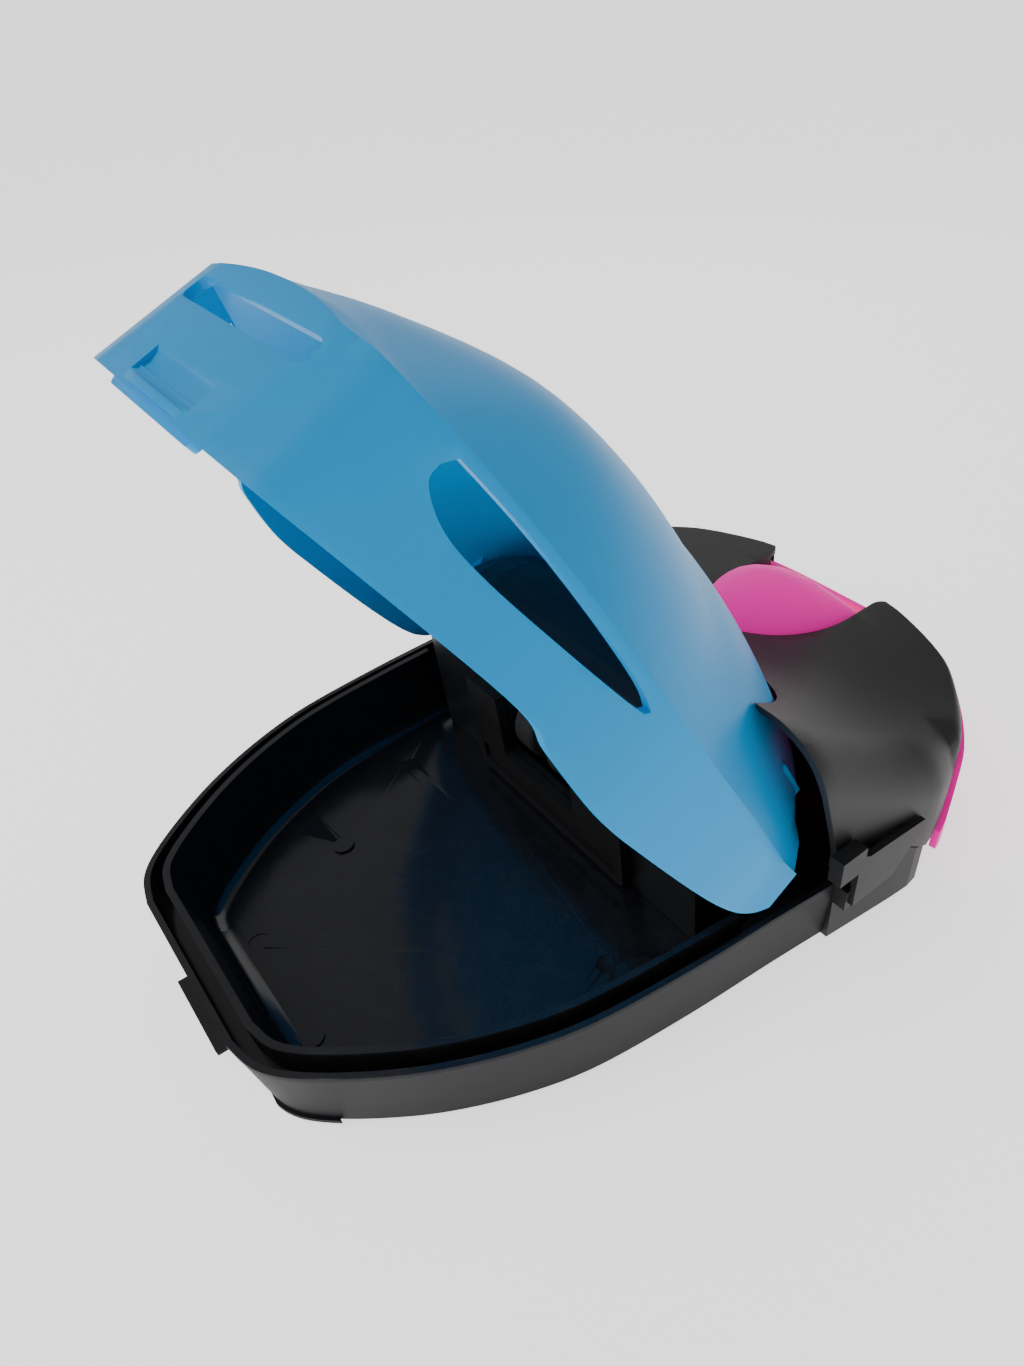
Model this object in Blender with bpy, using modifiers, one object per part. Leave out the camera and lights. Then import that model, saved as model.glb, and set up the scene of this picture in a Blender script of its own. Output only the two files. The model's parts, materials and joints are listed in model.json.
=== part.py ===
"""Automatic card shuffler. Metres, +Z up, front towards -Y. Sizes below are in millimetres."""
import math

import bmesh
import bpy
from mathutils import Matrix, Vector

for old in list(bpy.data.objects):
    bpy.data.objects.remove(old, do_unlink=True)

MM = 0.001

# Overall sizes
LENGTH = 256.0  # front wall to rear end
HALF_W = 100.0  # widest half width
RAIL_X = HALF_W + 2.0  # side rail face
WIDEN = HALF_W / 100.0  # plan widths follow the half width
RIM_Z = 27.0  # tray rim height
WALL = 2.2  # moulded wall
FLOOR = 3.0  # top of the floor
BASE = 0.8  # underside, lifted by the feet
SEAM_Y = 154.0  # tray meets rear housing
LEDGE = 4.0  # latch ledge ahead of the front wall
BACK_BULGE = 2.0  # button apron behind the shell
MID_Y = (LENGTH + BACK_BULGE - LEDGE) / 2  # row origin sits under the middle
FACET = 24  # sides of a small round

# Clearances
GAP = 0.3  # between fixed pieces
RUN = 0.08  # shaft in its bush, on the radius
SWEEP = 1.6  # moving hood to fixed shell
SKIRT_GAP = 0.9  # hood skirt to each side of its groove

# Hood
HINGE_Y = 143.0
HINGE_Z = 48.5
OPEN_DEG = 58.3
HOOD_FRONT_Y = 1.0
HOOD_END_Y = 151.5
CARD_HALF = 29.0  # half width of the slot a card leaves through
SLOT_LOW = 49.5
SLOT_HIGH = 56.0
SCOOP_HALF = 15.5
FLARE = 5.0  # front wall leans out towards its foot
FLARE_END = 24.0
TONGUE_HALF = 22.0
TONGUE_LOW = 26.4
LUG_IN = 73.0
LUG_OUT = 78.0
PIN_R = 2.0

# Tray rim
LEDGE_W = 1.8
GROOVE_W = WALL + 2 * SKIRT_GAP
GROOVE_Z = 18.5
LIP_W = 1.6
LIP_RISE = 1.5
LIP_END = 124.0  # inner lip stops short, so the hood tail swings clear
DRAFT = 2.0

# Drive
FEED_Y = 131.0
DRIVE_Z = 34.0
TYRE_R = 12.0
TYRE_W = 10.0
SHAFT_R = 2.0
MODULE = 0.8
FEED_TEETH = 16
SMALL_TEETH = 12
LARGE_TEETH = 34
PINION_TEETH = 10
MESH_SLACK = 0.16
IDLER_Y = FEED_Y + MODULE * (FEED_TEETH + SMALL_TEETH) / 2 + MESH_SLACK
MOTOR_Y = IDLER_Y + MODULE * (LARGE_TEETH + PINION_TEETH) / 2 + MESH_SLACK
GUARD_Y = 121.0  # front face of the bulkhead
PLATE_L = -32.0
PLATE_R = 31.0
PLATE_OUT = 52.0
PLATE_T = 2.0
DRUM_HALF = 72.0

# Button
NOTCH_HALF = 25.6
NOTCH_APEX = 188.0
NOTCH_Y = 237.6
HORN_R = 6.0  # rounding where the notch meets the rear end
BUTTON_GAP = 1.2
SHELL_LOW = 40.0  # underside of the shell round the back
APRON_LOW = 10.0
TUCK = 5.0  # housing wall drawn in behind the apron
BUTTON_TRAVEL = 5.0

# Batteries
CELL_R = 7.2
CELL_L = 50.0
CELL_Y = 194.0
CELL_PITCH = 15.0
CELL_Z = 11.2


def spline(points, count):
    """Smooth run through the points, count steps a span."""
    out = []
    last = len(points) - 1
    for i in range(last):
        a = Vector(points[max(i - 1, 0)])
        b = Vector(points[i])
        c = Vector(points[i + 1])
        d = Vector(points[min(i + 2, last)])
        for k in range(count):
            t = k / count
            out.append(
                0.5 * (2 * b + (c - a) * t + (2 * a - 5 * b + 4 * c - d) * t * t
                       + (3 * b - a - 3 * c + d) * t ** 3))
    out.append(Vector(points[last]))
    return out


def blend_at(points, y):
    """Height or width at y on a smooth run of (y, value)."""
    run = spline(points, 8)
    if y <= run[0][0]:
        return run[0][1]
    for a, b in zip(run, run[1:]):
        if y <= b[0]:
            return a[1] + (b[1] - a[1]) * (y - a[0]) / (b[0] - a[0])
    return run[-1][1]


# Half plan of the casing, (x, y), front middle to rear middle
PLAN_FRONT = ((30, 0), (41, 2.6), (50, 9), (61, 21.5), (71, 36), (80, 54), (86.5, 74),
              (91, 104), (94, 135), (97, 162), (99.2, 182), (100, 194))
PLAN_REAR = ((100, 194), (97.5, 203), (91, 216), (81.5, 228), (69, 240.5), (60, 246),
             (48, 251), (34, 255))


def half_plan(front, rear, step_rear=2):
    run = [Vector((0, 0))] if front else []
    if front:
        run += spline(PLAN_FRONT, 2)
    if rear:
        run += spline(PLAN_REAR, step_rear)[1 if front else 0:]
        run.append(Vector((0, LENGTH)))
    return [Vector((p.x * WIDEN, p.y)) for p in run]


def inset(run, by):
    """Half plan moved inwards by a distance."""
    out = []
    for i, p in enumerate(run):
        a = run[max(i - 1, 0)]
        b = run[min(i + 1, len(run) - 1)]
        if i == 0:
            a = Vector((-b.x, b.y)) if p.x == 0 else a
        if i == len(run) - 1 and p.x == 0:
            b = Vector((-a.x, a.y))
        t = (b - a).normalized()
        n = Vector((-t.y, t.x))
        q = p + n * by
        out.append(Vector((max(q.x, 0) if p.x > 0 else 0, q.y)))
    return out


def whole(run):
    """Both halves of a half plan, as one closed loop."""
    left = [Vector((-p.x, p.y)) for p in reversed(run) if p.x > 1e-6]
    return list(run) + left


def half_width(y, by=0.0):
    """Half width of the casing at y, moved in by a distance."""
    run = inset(half_plan(True, True), by)
    for a, b in zip(run, run[1:]):
        if a.y <= y <= b.y and b.y - a.y > 1e-6:
            return a.x + (b.x - a.x) * (y - a.y) / (b.y - a.y)
    return 0.0


scene = bpy.context.scene
model = bpy.data.collections.new("automatic_card_shuffler")
helpers = bpy.data.collections.new("cutters")
scene.collection.children.link(model)
scene.collection.children.link(helpers)
helpers.hide_render = True

LOOKS = {
    "sky_blue_plastic": ((0.05, 0.40, 0.72, 1), 0.25, 0.0),
    "magenta_plastic": ((1.0, 0.055, 0.49, 1), 0.45, 0.0),
    "charcoal_plastic": ((0.037, 0.038, 0.042, 1), 0.55, 0.0),
    "dark_grey_plastic": ((0.026, 0.027, 0.03, 1), 0.4, 0.0),
    "gloss_black_plastic": ((0.006, 0.006, 0.008, 1), 0.2, 0.0),
    "slate_plastic": ((0.02, 0.024, 0.03, 1), 0.45, 0.0),
    "rubber": ((0.012, 0.012, 0.012, 1), 0.85, 0.0),
    "steel": ((0.6, 0.6, 0.62, 1), 0.3, 1.0),
    "brass": ((0.75, 0.56, 0.25, 1), 0.35, 1.0),
    "white_nylon": ((0.82, 0.81, 0.76, 1), 0.5, 0.0),
    "green_board": ((0.02, 0.2, 0.07, 1), 0.4, 0.0),
    "cell_wrap": ((0.1, 0.11, 0.12, 1), 0.35, 0.0),
}


def look(name):
    if name in bpy.data.materials:
        return bpy.data.materials[name]
    mat = bpy.data.materials.new(name)
    mat.use_nodes = True
    node = mat.node_tree.nodes["Principled BSDF"]
    colour, rough, metal = LOOKS[name]
    node.inputs["Base Color"].default_value = colour
    node.inputs["Roughness"].default_value = rough
    node.inputs["Metallic"].default_value = metal
    return mat


def finish(bm, name, mat=None, pivot=(0.0, 0.0, 0.0)):
    """Mesh from millimetres in the casing's frame, its origin at the pivot."""
    bmesh.ops.remove_doubles(bm, verts=bm.verts, dist=0.001)
    bmesh.ops.recalc_face_normals(bm, faces=bm.faces)
    at = Vector(pivot)
    bmesh.ops.translate(bm, verts=bm.verts, vec=-at)
    bmesh.ops.scale(bm, verts=bm.verts, vec=(MM, MM, MM))
    mesh = bpy.data.meshes.new(name)
    bm.to_mesh(mesh)
    bm.free()
    obj = bpy.data.objects.new(name, mesh)
    obj.location = Vector((at.x, at.y - MID_Y, at.z)) * MM
    if mat:
        model.objects.link(obj)
        mesh.materials.append(look(mat))
    else:
        helpers.objects.link(obj)
        obj.hide_render = True
        obj.display_type = "WIRE"
    return obj


def cut(obj, other, how="DIFFERENCE"):
    mod = obj.modifiers.new(how.lower() + "_" + other.name, "BOOLEAN")
    mod.operation = how
    mod.solver = "EXACT"
    mod.object = other


def prism(name, loop, low, high, mat=None, axis="Z", taper=None):
    """Closed outline pushed from low to high; a second outline tapers it."""
    bm = bmesh.new()

    def at(p, h):
        if axis == "Z":
            return (p[0], p[1], h)
        if axis == "X":
            return (h, p[0], p[1])
        return (p[0], h, p[1])

    base = [bm.verts.new(at(p, low)) for p in loop]
    top = [bm.verts.new(at(p, high)) for p in (taper or loop)]
    bm.faces.new(base)
    bm.faces.new(top)
    for i in range(len(base)):
        j = (i + 1) % len(base)
        bm.faces.new((base[i], base[j], top[j], top[i]))
    return finish(bm, name, mat)


def box(name, low, high, mat=None, round_by=0.0, pivot=(0, 0, 0)):
    bm = bmesh.new()
    bmesh.ops.create_cube(bm, size=1.0)
    size = [b - a for a, b in zip(low, high)]
    mid = [(a + b) / 2 for a, b in zip(low, high)]
    bmesh.ops.scale(bm, verts=bm.verts, vec=size)
    bmesh.ops.translate(bm, verts=bm.verts, vec=mid)
    if round_by:
        bmesh.ops.bevel(bm, geom=bm.edges, offset=round_by, segments=2, affect="EDGES", profile=0.5)
    return finish(bm, name, mat, pivot)


def rod(name, centre, radius, length, axis="X", mat=None, radius2=None, sides=FACET, pivot=(0, 0, 0)):
    bm = bmesh.new()
    end = radius if radius2 is None else radius2
    bmesh.ops.create_cone(bm, cap_ends=True, segments=sides, radius1=radius, radius2=end, depth=length)
    if axis == "X":
        bmesh.ops.rotate(bm, verts=bm.verts, cent=(0, 0, 0), matrix=Matrix.Rotation(math.pi / 2, 3, "Y"))
    if axis == "Y":
        bmesh.ops.rotate(bm, verts=bm.verts, cent=(0, 0, 0), matrix=Matrix.Rotation(-math.pi / 2, 3, "X"))
    bmesh.ops.translate(bm, verts=bm.verts, vec=centre)
    return finish(bm, name, mat, pivot)


def turned(name, profile, mat=None, centre=(0, 0, 0), axis="X", sides=32, pivot=(0, 0, 0)):
    """Solid of revolution from a closed (along, radius) outline that stays off the axis, or meets it."""
    bm = bmesh.new()
    rings = []
    for along, radius in profile:
        if radius < 1e-6:
            rings.append([bm.verts.new((0, 0, along))])
            continue
        ring = []
        for k in range(sides):
            a = math.tau * (k + 0.5) / sides
            ring.append(bm.verts.new((radius * math.cos(a), radius * math.sin(a), along)))
        rings.append(ring)
    closed = profile[0][1] > 1e-6
    pairs = list(zip(rings, rings[1:])) + ([(rings[-1], rings[0])] if closed else [])
    for lower, upper in pairs:
        for k in range(sides):
            n = (k + 1) % sides
            quad = []
            for v in (lower[k % len(lower)], lower[n % len(lower)],
                      upper[n % len(upper)], upper[k % len(upper)]):
                if v not in quad:
                    quad.append(v)
            if len(quad) > 2:
                bm.faces.new(quad)
    if axis == "X":
        bmesh.ops.rotate(bm, verts=bm.verts, cent=(0, 0, 0), matrix=Matrix.Rotation(math.pi / 2, 3, "Y"))
    bmesh.ops.translate(bm, verts=bm.verts, vec=centre)
    return finish(bm, name, mat, pivot)


def grid_solid(name, rows, mat=None, pivot=(0, 0, 0), ring=False):
    """Closed skin from rows of points: open grid rows capped at the ends, each row a closed loop."""
    bm = bmesh.new()
    lines = [[bm.verts.new(p) for p in row] for row in rows]
    for a, b in zip(lines, lines[1:]):
        for i in range(len(a)):
            j = (i + 1) % len(a)
            bm.faces.new((a[i], a[j], b[j], b[i]))
    if ring:
        a, b = lines[-1], lines[0]
        for i in range(len(a)):
            j = (i + 1) % len(a)
            bm.faces.new((a[i], a[j], b[j], b[i]))
    else:
        bm.faces.new(lines[0])
        bm.faces.new(lines[-1])
    return finish(bm, name, mat, pivot)


# ---- Hood surface ----
RIDGE = ((-2, 61.2), (4, 59.4), (16, 57.6), (43, 53), (80, 47), (120, 43), (154, 40))
CROWN = ((-2, 61.5), (6, 66), (20, 75.6), (45, 88), (70, 92.6), (95, 92.6), (110, 91), (125, 87.6),
         (143, 82), (160, 74))
SKIRT = ((-2, 28), (45, 28), (57, 24.5), (75, 20.6), (92, 20), (120, 20.4), (138, 22), (147, 25.2), (153, 30.5))
HOOD_IN = LEDGE_W + SKIRT_GAP


def hood_half(y):
    tail = max(min((y - 126) / 16.0, 1.0), 0.0) * 1.3
    nose = max(min((10 - y) / 9.0, 1.0), 0.0) * 1.7
    return max(half_width(max(y + nose, 3.2), HOOD_IN) - tail, CARD_HALF + 4.0)


def crown_at(x, y):
    """Height of the hood's outer skin above the table, hood shut."""
    wide = hood_half(y)
    low = blend_at(RIDGE, y)
    rise = blend_at(CROWN, y) - low
    late = min(max((y - 95) / (HINGE_Y - 95), 0.0), 1.0)
    return low + rise * (1 - min(abs(x) / wide, 1.0) ** (2.35 + 1.55 * late))


def hinge_reach(x):
    """Radius of the hood's outer skin straight above the hinge axis."""
    return crown_at(x, HINGE_Y) - HINGE_Z


def skin_at(x, y):
    """Outer skin, carried round the hinge behind the axis."""
    if y <= HINGE_Y:
        return crown_at(x, y)
    radius = hinge_reach(x)
    back = y - HINGE_Y
    if radius < 0:
        return crown_at(x, HINGE_Y)
    return HINGE_Z + math.sqrt(max(radius * radius - back * back, 0.36 * radius * radius))


def flared(p):
    """Point of the hood, carried out with the leaning front wall."""
    near = min(max((FLARE_END - p.y) / (FLARE_END - HOOD_FRONT_Y), 0.0), 1.0) ** 2
    top = blend_at(RIDGE, p.y)
    down = max((top - p.z) / (top - SKIRT[0][1]), 0.0)
    return Vector((p.x * (1 + 0.12 * near * down), p.y - near * (1.0 + FLARE * down), p.z))


def hood_sheet():
    """Open skin: dome grid, with a wall hung from its front and sides, then given its thickness."""
    ys = [HOOD_FRONT_Y, 3.0, 6.0, 10, 15, 21, 28, 36, 45, 55, 66, 78, 90, 102, 113, 123, 132, 138,
          HINGE_Y, 147.0, HOOD_END_Y]
    angles = [math.radians(-90 + 180 * k / 24) for k in range(25)]
    bm = bmesh.new()
    grid = []
    for y in ys:
        wide = hood_half(y)
        grid.append([bm.verts.new((wide * math.sin(a), y, skin_at(wide * math.sin(a), y))) for a in angles])
    for a, b in zip(grid, grid[1:]):
        for i in range(len(a) - 1):
            bm.faces.new((a[i], a[i + 1], b[i + 1], b[i]))
    edge = [row[0] for row in reversed(grid)] + grid[0][1:-1] + [row[-1] for row in grid]
    steps = 4
    hung = [edge]
    for k in range(1, steps + 1):
        line = []
        for v in edge:
            low = blend_at(SKIRT, v.co.y)
            line.append(bm.verts.new((v.co.x, v.co.y, v.co.z + (low - v.co.z) * k / steps)))
        hung.append(line)
    for a, b in zip(hung, hung[1:]):
        for i in range(len(a) - 1):
            bm.faces.new((a[i], a[i + 1], b[i + 1], b[i]))
    for v in bm.verts:
        v.co = flared(v.co)
    bmesh.ops.recalc_face_normals(bm, faces=bm.faces)
    middle = grid[8][12]
    if middle.normal.z < 0:
        bmesh.ops.reverse_faces(bm, faces=bm.faces)
    return bm


def rounded(left, low, right, high, radius, steps=4):
    """Rounded rectangle outline."""
    out = []
    for cx, cy, start in ((right - radius, low + radius, -90), (right - radius, high - radius, 0),
                          (left + radius, high - radius, 90), (left + radius, low + radius, 180)):
        for k in range(steps + 1):
            a = math.radians(start + 90 * k / steps)
            out.append((cx + radius * math.cos(a), cy + radius * math.sin(a)))
    return out


def circle(cx, cy, radius, steps=24, start=0.0):
    return [(cx + radius * math.cos(math.tau * k / steps + start),
             cy + radius * math.sin(math.tau * k / steps + start)) for k in range(steps)]


def make_hood():
    bm = hood_sheet()
    bmesh.ops.translate(bm, verts=bm.verts, vec=(0, -HINGE_Y, -HINGE_Z))
    bmesh.ops.scale(bm, verts=bm.verts, vec=(MM, MM, MM))
    mesh = bpy.data.meshes.new("hood")
    bm.to_mesh(mesh)
    bm.free()
    hood = bpy.data.objects.new("hood", mesh)
    hood.location = Vector((0, HINGE_Y - MID_Y, HINGE_Z)) * MM
    hood.rotation_euler.x = -math.radians(OPEN_DEG)
    model.objects.link(hood)
    mesh.materials.append(look("sky_blue_plastic"))
    skin = hood.modifiers.new("wall", "SOLIDIFY")
    skin.thickness = WALL * MM
    skin.offset = -1.0
    skin.use_even_offset = False
    skin.use_rim = True

    slot = prism("slot_cutter", rounded(-CARD_HALF, SLOT_LOW, CARD_HALF, SLOT_HIGH, 2.4), -8, 9, axis="Y")
    tear_top = spline(((16.5, 55), (30, 53.2), (49, 49.6), (62, 46.6), (67, 44.4)), 2)
    tear_low = spline(((66, 43.2), (60, 42.6), (45, 42), (30, 42), (21, 43.6), (15.5, 48), (15, 52)), 2)
    tears = prism("side_slot_cutter", [tuple(p) for p in tear_top + tear_low], -HALF_W - 10, HALF_W + 10, axis="X")
    lug_l = lug("lug_left_tool", -LUG_OUT, -LUG_IN)
    lug_r = lug("lug_right_tool", LUG_IN, LUG_OUT)
    bore = rod("hinge_bore", (0, HINGE_Y, HINGE_Z), PIN_R + 0.1, 2 * LUG_OUT + 12)
    foot_y = HOOD_FRONT_Y - 1.0 - FLARE
    lip = prism("scoop_lip", [(foot_y + 2.0, 32.0), (foot_y - 1.6, 30.9), (foot_y - 1.6, 29.6), (foot_y + 1.6, 28.6)],
                -SCOOP_HALF, SCOOP_HALF, axis="X")
    dish = prism("scoop_dish", [(foot_y - 6, 31.4), (foot_y + 1.3, 31.4), (foot_y + 2.2, 34.6), (foot_y + 1.7, 38.2),
                                (foot_y - 6, 38.2)], -SCOOP_HALF, SCOOP_HALF, axis="X")
    hook = prism("latch_tongue", rounded(-TONGUE_HALF, TONGUE_LOW, TONGUE_HALF, 33, 1.5), foot_y + 1.4, foot_y + 3.4,
                 axis="Y")
    for tool in (slot, tears, lug_l, lug_r, bore, lip, hook, dish):
        tool.parent = hood
        tool.matrix_parent_inverse = Matrix.Translation(-Vector((0, HINGE_Y - MID_Y, HINGE_Z)) * MM)
    cut(hood, dish)
    for tool in (lug_l, lug_r, lip, hook):
        cut(hood, tool, "UNION")
    for tool in (slot, tears, bore):
        cut(hood, tool)
    return hood


def lug(name, low, high):
    """Ear that hangs from the dome to the hinge pin."""
    reach = hinge_reach((abs(low) + abs(high)) / 2) - 0.8
    loop = [(HINGE_Y - 11, HINGE_Z + reach), (HINGE_Y + 4.5, HINGE_Z + reach - 1)]
    for k in range(9):
        a = math.radians(0 - 180 * k / 8)
        loop.append((HINGE_Y + 5.5 * math.cos(a), HINGE_Z + 5.5 * math.sin(a)))
    return prism(name, loop, low, high, axis="X")


def swept(x, beta):
    """Farthest the hood's skin reaches from the axis past the direction beta, over its whole swing."""
    best = hinge_reach(x)
    top = beta + math.radians(OPEN_DEG)
    for k in range(9):
        alpha = math.pi / 2 + (top - math.pi / 2) * k / 8
        if alpha < math.pi / 2:
            continue
        low, high = 0.0, 90.0
        for _ in range(18):
            mid = (low + high) / 2
            y = HINGE_Y + mid * math.cos(alpha)
            inside = HINGE_Z + mid * math.sin(alpha) < crown_at(x, y) and abs(x) < hood_half(y)
            low, high = (mid, high) if inside else (low, mid)
        best = max(best, low)
    return best


def make_sweep_cutter():
    """Space that the swinging hood needs behind the hinge."""
    rows = []
    for k in range(25):
        x = (HALF_W - 5.0) * math.sin(math.radians(-90 + 180 * k / 24))
        row = [(x, HINGE_Y - 30, HINGE_Z - 12), (x, HINGE_Y + 3, HINGE_Z - 12)]
        for n in range(15):
            beta = math.radians(-10 + 115 * n / 14)
            reach = max(swept(x, beta), 5.0) + SWEEP
            row.append((x, HINGE_Y + reach * math.cos(beta), HINGE_Z + reach * math.sin(beta)))
        row.append((x, HINGE_Y - 30, row[-1][2]))
        rows.append(row)
    return grid_solid("hood_sweep", rows)


# ---- Shell ----
SADDLE = ((128, 97), (137, 89), (144, 83.5), (162, 70.5), (180, 59.8), (198, 52.6), (216, 48.2), (234, 46.4),
          (LENGTH, 47.6))
SHELL_EDGE = ((130, 50), (146, 43), (153, 33), (158, RIM_Z + 0.6), (178, RIM_Z - 0.4), (194, 17.5), (203, 21.5),
              (211, 29), (218, SHELL_LOW), (LENGTH, SHELL_LOW))
SHOULDER = 16.0


def shell_rows(by):
    """Cross-section loops of the shell, shrunk by a wall."""
    rows = []
    ys = [130, 138, 146, 154, 162, 171, 180, 189, 196, 203, 210, 217, 224, 231, 237, 242, 246.5, 250.5,
          253.6, LENGTH]
    for y in ys:
        near = min(y, LENGTH - 0.01) - (by if y > 250 else 0.0)
        wide = max(half_width(near, by), 4.0)
        top = blend_at(SADDLE, y) - by
        low = blend_at(SHELL_EDGE, y)
        drop = min(SHOULDER * min((LENGTH + 14 - y) / 60.0, 1.0), top + by - low - 2.0)
        side = []
        lean = max((146 - y) * 0.25, 0.0) if y < 146 else 0.0
        for k in range(7):
            a = math.radians(90 * k / 6)
            side.append((wide - lean - drop + drop * math.cos(a), top - drop + drop * math.sin(a)))
        base = low - (10.0 if by else 0.0)
        half = [(wide, base)] + side + [(wide * 0.34, top + 0.4)]
        loop = [(x, y + (10.0 if by and y > 255 else 0), z) for x, z in half]
        loop += [(-x, yy, z) for x, yy, z in reversed(loop)]
        rows.append(loop)
    return rows


def notch_plan(by):
    """U outline open to the rear, moved by a distance."""
    run = []
    half = NOTCH_HALF - by
    deep = NOTCH_Y - NOTCH_APEX - by
    for k in range(21):
        a = math.radians(180 + 180 * k / 20)
        run.append((half * math.cos(a), NOTCH_Y + deep * math.sin(a)))
    return run


def notch_mouth():
    """The notch carried out past the rear end, with its mouth rounded."""
    run = notch_plan(0.0)
    for side in (1, -1):
        for k in range(7):
            a = math.radians(90 * (k if side > 0 else 6 - k) / 6)
            run.append((side * (NOTCH_HALF + HORN_R * (1 - math.cos(a))), LENGTH - HORN_R * (1 - math.sin(a))))
        if side > 0:
            run += [(NOTCH_HALF + HORN_R, LENGTH + 20), (-NOTCH_HALF - HORN_R, LENGTH + 20)]
    return run


def make_shell(sweep):
    shell = grid_solid("rear_top_shell", shell_rows(0.0), "charcoal_plastic")
    hollow = grid_solid("shell_hollow", shell_rows(WALL)[1:-1])
    front = box("shell_front_trim", (-120, 100, -20), (120, 137, 120))
    lean = prism("shell_lip_trim", [(100, -10), (152.5, -10), (152.5, 40), (145.5, 66), (143, 78), (136.5, 100), (100, 100)],
                 -120, 120, axis="X")
    notch = prism("notch_cutter", notch_mouth(), 20, 110)
    throat = prism("notch_wall_tool", notch_plan(-WALL) + [(NOTCH_HALF + WALL - 1, LENGTH - 6), (-NOTCH_HALF - WALL + 1, LENGTH - 6)],
                   SHELL_LOW + 0.2, 80)
    trim = grid_solid("throat_trim", shell_rows(0.0))
    cut(throat, trim, "INTERSECT")
    cut(shell, hollow)
    cut(shell, throat, "UNION")
    for tool in (notch, front, lean, sweep):
        cut(shell, tool)
    return shell


# ---- Rear lower housing ----
def make_housing():
    low_run = [p for p in half_plan(True, True) if p.y > SEAM_Y + 1]
    start = Vector((half_width(SEAM_Y + GAP), SEAM_Y + GAP))
    outer = [start] + low_run
    tuck = []
    for p in outer:
        by = max(min((p.y - 193) / 6.0, 1.0), 0.0) * TUCK
        n = (Vector((0, 210)) - p).normalized()
        tuck.append(p + n * by)
    body = prism("rear_lower_housing", whole([Vector((0, SEAM_Y + GAP))] + tuck), BASE, RIM_Z - 0.6, "dark_grey_plastic",
                 taper=whole([Vector((0, SEAM_Y + GAP))] + tuck))
    inner = []
    for p in tuck:
        n = (Vector((0, 200)) - p).normalized()
        inner.append(p + n * WALL * 1.15)
    hollow = prism("housing_hollow", whole([Vector((0, SEAM_Y - 4)), Vector((inner[0].x, SEAM_Y - 4))] + inner[1:]),
                   FLOOR, 60)
    line = [(y, blend_at(SHELL_EDGE, y) - 0.5) for y in (172, 178, 184, 190, 194, 199, 203, 208, 212)]
    shell_seat = prism("shell_seat", line + [(212, 90), (172, 90)], -HALF_W - 0.1, HALF_W + 0.1, axis="X")
    rear_low = box("housing_rear_step", (-120, 206, 17.5), (120, 300, 60))
    cut(body, hollow)
    cut(body, rear_low)
    cut(body, shell_seat)
    for side in (-1, 1):
        rail = prism("rail_tool_%d" % (side + 1), [(156, 20), (156, 42), (160, 39), (185.5, 36.6), (187, 34.5), (174, 20)],
                     *sorted((side * RAIL_X, side * (HALF_W - 0.1))), axis="X")
        block = prism("block_tool_%d" % (side + 1), [(148, 34.5), (148, 44), (158, 44), (158, 34.5)],
                      *sorted((side * RAIL_X, side * (HALF_W - 2.7))), axis="X")
        join = box("rail_join_%d" % (side + 1), (min(side * (HALF_W - 5.4), side * (HALF_W + 0.5)), SEAM_Y + GAP, 18),
                   (max(side * (HALF_W - 5.4), side * (HALF_W + 0.5)), 176, RIM_Z - 1.0))
        for tool in (join, rail, block):
            cut(body, tool, "UNION")
    door_hole = box("door_opening", (-31, CELL_Y - 9, -5), (31, CELL_Y + 2 * CELL_PITCH + 9, 10))
    cut(body, door_hole)
    return body


# ---- Tray ----
def make_tray():
    run = [p for p in half_plan(True, False) if p.y < SEAM_Y - 1]
    run.append(Vector((half_width(SEAM_Y), SEAM_Y)))

    def flat(by):
        pts = inset(run, by)
        pts[-1] = Vector((pts[-1].x, SEAM_Y))
        return pts

    def loop(by, back=0.0):
        pts = flat(by)
        pts.append(Vector((0, SEAM_Y)))
        if back:
            pts[-2] = Vector((pts[-2].x, SEAM_Y + back))
            pts[-1] = Vector((0, SEAM_Y + back))
        return whole(pts)

    tray = prism("card_tray", loop(DRAFT), BASE, RIM_Z + LIP_RISE, "gloss_black_plastic", taper=loop(0.0))
    rim_in = LEDGE_W + GROOVE_W + LIP_W
    basin = prism("basin", loop(rim_in + 3.5, 10), FLOOR, RIM_Z + 12, taper=loop(rim_in - 0.6, 10))
    ledge = prism("ledge_ring", loop(-3, 10), RIM_Z, RIM_Z + 9)
    ledge_core = prism("ledge_core", loop(LEDGE_W + GROOVE_W * 0.5, 20), RIM_Z - 3, RIM_Z + 12)
    cut(ledge, ledge_core)
    groove = prism("groove_ring", loop(LEDGE_W, 10), GROOVE_Z, RIM_Z + 9)
    groove_core = prism("groove_core", loop(LEDGE_W + GROOVE_W, 20), GROOVE_Z - 3, RIM_Z + 12)
    cut(groove, groove_core)
    cut(tray, basin)
    cut(tray, ledge)
    cut(tray, groove)
    free = half_width(LIP_END) - LEDGE_W - 0.3
    cut(tray, box("lip_end_trim", (-free, LIP_END, GROOVE_Z), (free, SEAM_Y + 8, 60)))
    tab = box("ledge_tool", (-15, -LEDGE, 6), (15, 3.5, 8.4))
    cut(tray, tab, "UNION")
    for k, (x, y, r) in enumerate(((-18, 20, 3.2), (25, 18, 3.2))):
        cut(tray, rod("ejector_%d" % k, (x, y, FLOOR + 0.15), r, 0.8, "Z"), "DIFFERENCE")
    cut(tray, rod("boss_tool", (-38, 58, FLOOR), 3.4, 1.6, "Z"), "UNION")
    return tray


# ---- Hinge cover and bulkhead ----
def drum_profile(shrink, half):
    pts = []
    for k in range(17):
        x = half * math.sin(math.radians(-90 + 180 * k / 16))
        pts.append((x, max(hinge_reach(x) - WALL - 1.5 - shrink, 3.0)))
    return [(-half, 0.0)] + pts + [(half, 0.0)]


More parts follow.
